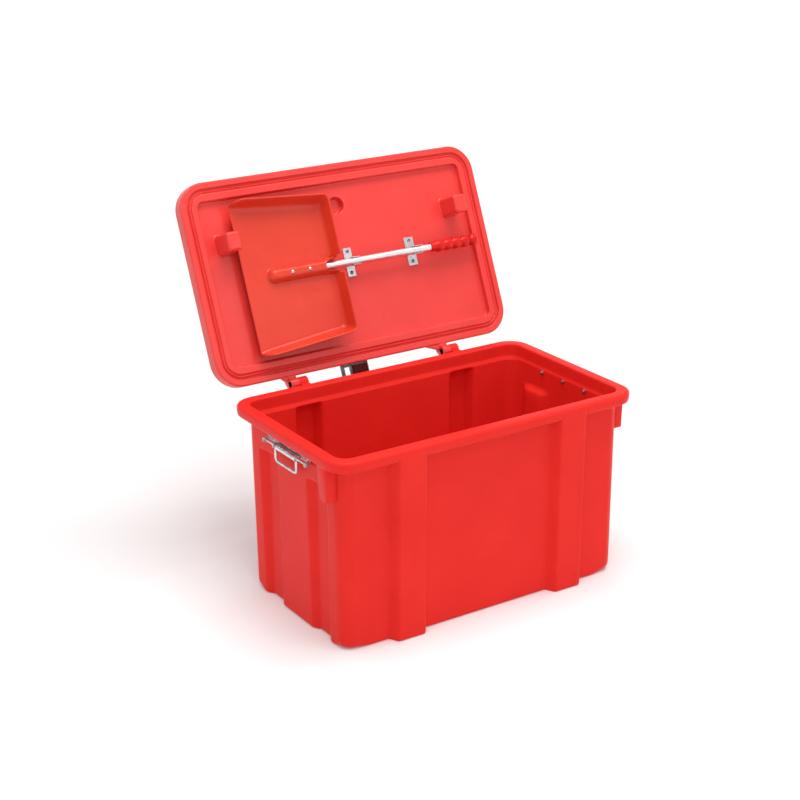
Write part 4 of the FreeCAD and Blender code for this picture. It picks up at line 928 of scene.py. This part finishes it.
def screw_head(cx, cy, z0, up, r=4.0, high=2.2, spin=0.0):
    """Domed head with a cross recess; up is +1 or -1 along Z."""
    seg, n = 48, 13
    ang = np.linspace(0, 2 * math.pi, seg, endpoint=False)
    v = [(cx, cy, z0 + up * (high - 1.3))]
    rad = [r * (i / n) for i in range(1, n + 1)]
    for q in rad:
        for t in ang:
            a, b = q * math.cos(t - spin), q * math.sin(t - spin)
            h = high * math.sqrt(max(0.0, 1 - (q / r) ** 2.2)) if q < r * 0.999 else 0.35
            arm = min(max(abs(a), abs(b)) / 2.2, 9)
            thin = min(abs(a), abs(b))
            k = min(1.0, max(0.0, (0.85 - thin) / 0.25)) * min(1.0, max(0.0, (2.6 - max(abs(a), abs(b))) / 0.4))
            h -= 1.3 * k
            v.append((cx + q * math.cos(t), cy + q * math.sin(t), z0 + up * h))
    v += [(cx + r * math.cos(t), cy + r * math.sin(t), z0 - up * 0.1) for t in ang]
    v.append((cx, cy, z0 - up * 0.1))
    f = []
    for j in range(seg):
        f.append((0, 1 + j, 1 + (j + 1) % seg))
    for i in range(n):
        a, b = 1 + i * seg, 1 + (i + 1) * seg
        for j in range(seg):
            k = (j + 1) % seg
            f.append((a + j, b + j, b + k, a + k))
    a = 1 + n * seg
    for j in range(seg):
        f.append((a + j, len(v) - 1, a + (j + 1) % seg))
    if up < 0:
        f = [q[::-1] for q in f]
    return np.array(v), f


heads = []
for i, x in enumerate((4.5, 174.5)):
    for k, y in enumerate((-26.3, 23.7)):
        heads.append(screw_head(x, y, 442.7, -1, r=4.5, spin=0.4 + 0.7 * i + 0.9 * k))
finish_mesh("clip_screw_heads", merge(heads), M["screw"], "lid", ("clip_screws",), turn=True, smooth_angle=50)
finish_mesh("stop_screw_heads", merge([screw_head(x, 179.7, 471.0, 1, spin=0.3 * i) for i, x in enumerate((-53.5, -29.5, -5.5))]),
            M["bolt"], "lid", ("stop_screws",), turn=True, smooth_angle=50)


# ------------------------------------------------------- carried-over nodes
def give(name, mat, angle=35):
    ob = nodes[name]
    ob.data.materials.clear()
    ob.data.materials.append(mat)
    return ob


for side in ("left", "right"):
    give(side + "_handle_plate", M["steel"])
    give(side + "_handle_rod", M["steel"])
    give(side + "_handle_spring", M["wire"])
    give(side + "_handle_bolts", M["bolt"])
    give(side + "_handle_nuts", M["bolt"])
    give(side + "_bail", M["steel"])
# near-black pins: painted shade in the hinge bores
give("hinge_pins", M["pin"])
give("scoop_tube", M["tube"])
give("scoop_rivets", M["bolt"])
give("stop_bracket", M["bracket"])
give("stop_buffer", M["rubber"])


# ------------------------------------------------------------------- stage
def make_stage():
    me = bpy.data.meshes.new("floor")
    s = 30
    me.from_pydata([(-s, -s, 0), (s, -s, 0), (s, s, 0), (-s, s, 0)], [], [(0, 1, 2, 3)])
    m, nt, b = new_mat("pale_floor")
    n = noise(nt, 3, 2, 0.5)
    nt.links.new(ramp(nt, n, [(0.3, (0.84, 0.84, 0.84, 1)), (0.7, (0.86, 0.86, 0.86, 1))]), b.inputs["Base Color"])
    b.inputs["Roughness"].default_value = 0.85
    b.inputs["Specular IOR Level"].default_value = 0.15
    b.inputs["Emission Color"].default_value = (1, 1, 1, 1)
    tc = nt.nodes.new("ShaderNodeTexCoord")
    vl = nt.nodes.new("ShaderNodeVectorMath")
    vl.operation = "LENGTH"
    nt.links.new(tc.outputs["Object"], vl.inputs[0])
    nt.links.new(spread(nt, vl.outputs["Value"], 0.08, 0.60, 1.2, 5.0), b.inputs["Emission Strength"])
    if hasattr(m, "cycles"):
        m.cycles.emission_sampling = "NONE"
    me.materials.append(m)
    ob = bpy.data.objects.new("floor", me)
    COLL.objects.link(ob)

    w = bpy.data.worlds.new("studio")
    scene.world = w
    w.use_nodes = True
    bg = w.node_tree.nodes["Background"]
    bg.inputs["Color"].default_value = (1, 1, 1, 1)
    wt = w.node_tree
    tc = wt.nodes.new("ShaderNodeTexCoord")
    sp = wt.nodes.new("ShaderNodeSeparateXYZ")
    wt.links.new(tc.outputs["Generated"], sp.inputs[0])
    wt.links.new(spread(wt, sp.outputs["Z"], 1.0, 0.53, 0.08, 0.30), bg.inputs["Strength"])

    def area(name, pos, target, size, power, size_y=None):
        li = bpy.data.lights.new(name, "AREA")
        li.shape = "RECTANGLE"
        li.size = size
        li.size_y = size_y or size
        li.energy = power
        ob = bpy.data.objects.new(name, li)
        COLL.objects.link(ob)
        ob.location = pos
        d = Vector(target) - Vector(pos)
        ob.rotation_euler = d.to_track_quat("-Z", "Y").to_euler()
        return ob

    area("key_front_right", (2.0, -4.2, 2.4), (0, 0, 0.4), 1.6, 13)
    area("strip_front", (-1.2, -2.4, 3.2), (0, 0, 0.4), 1.5, 16, 0.12)
    area("strip_right", (2.1, -0.5, 4.0), (0, 0, 0.4), 0.5, 22, 1.8)
    area("corner_left", (-2.1, -0.7, 4.2), (0, 0, 0.4), 0.35, 8)
    area("top", (0, -0.4, 4.2), (0, 0, 0.3), 2.4, 111)


make_stage()
scene.view_settings.view_transform = "Standard"
scene.view_settings.look = "None"
scene.view_settings.exposure = 0.0
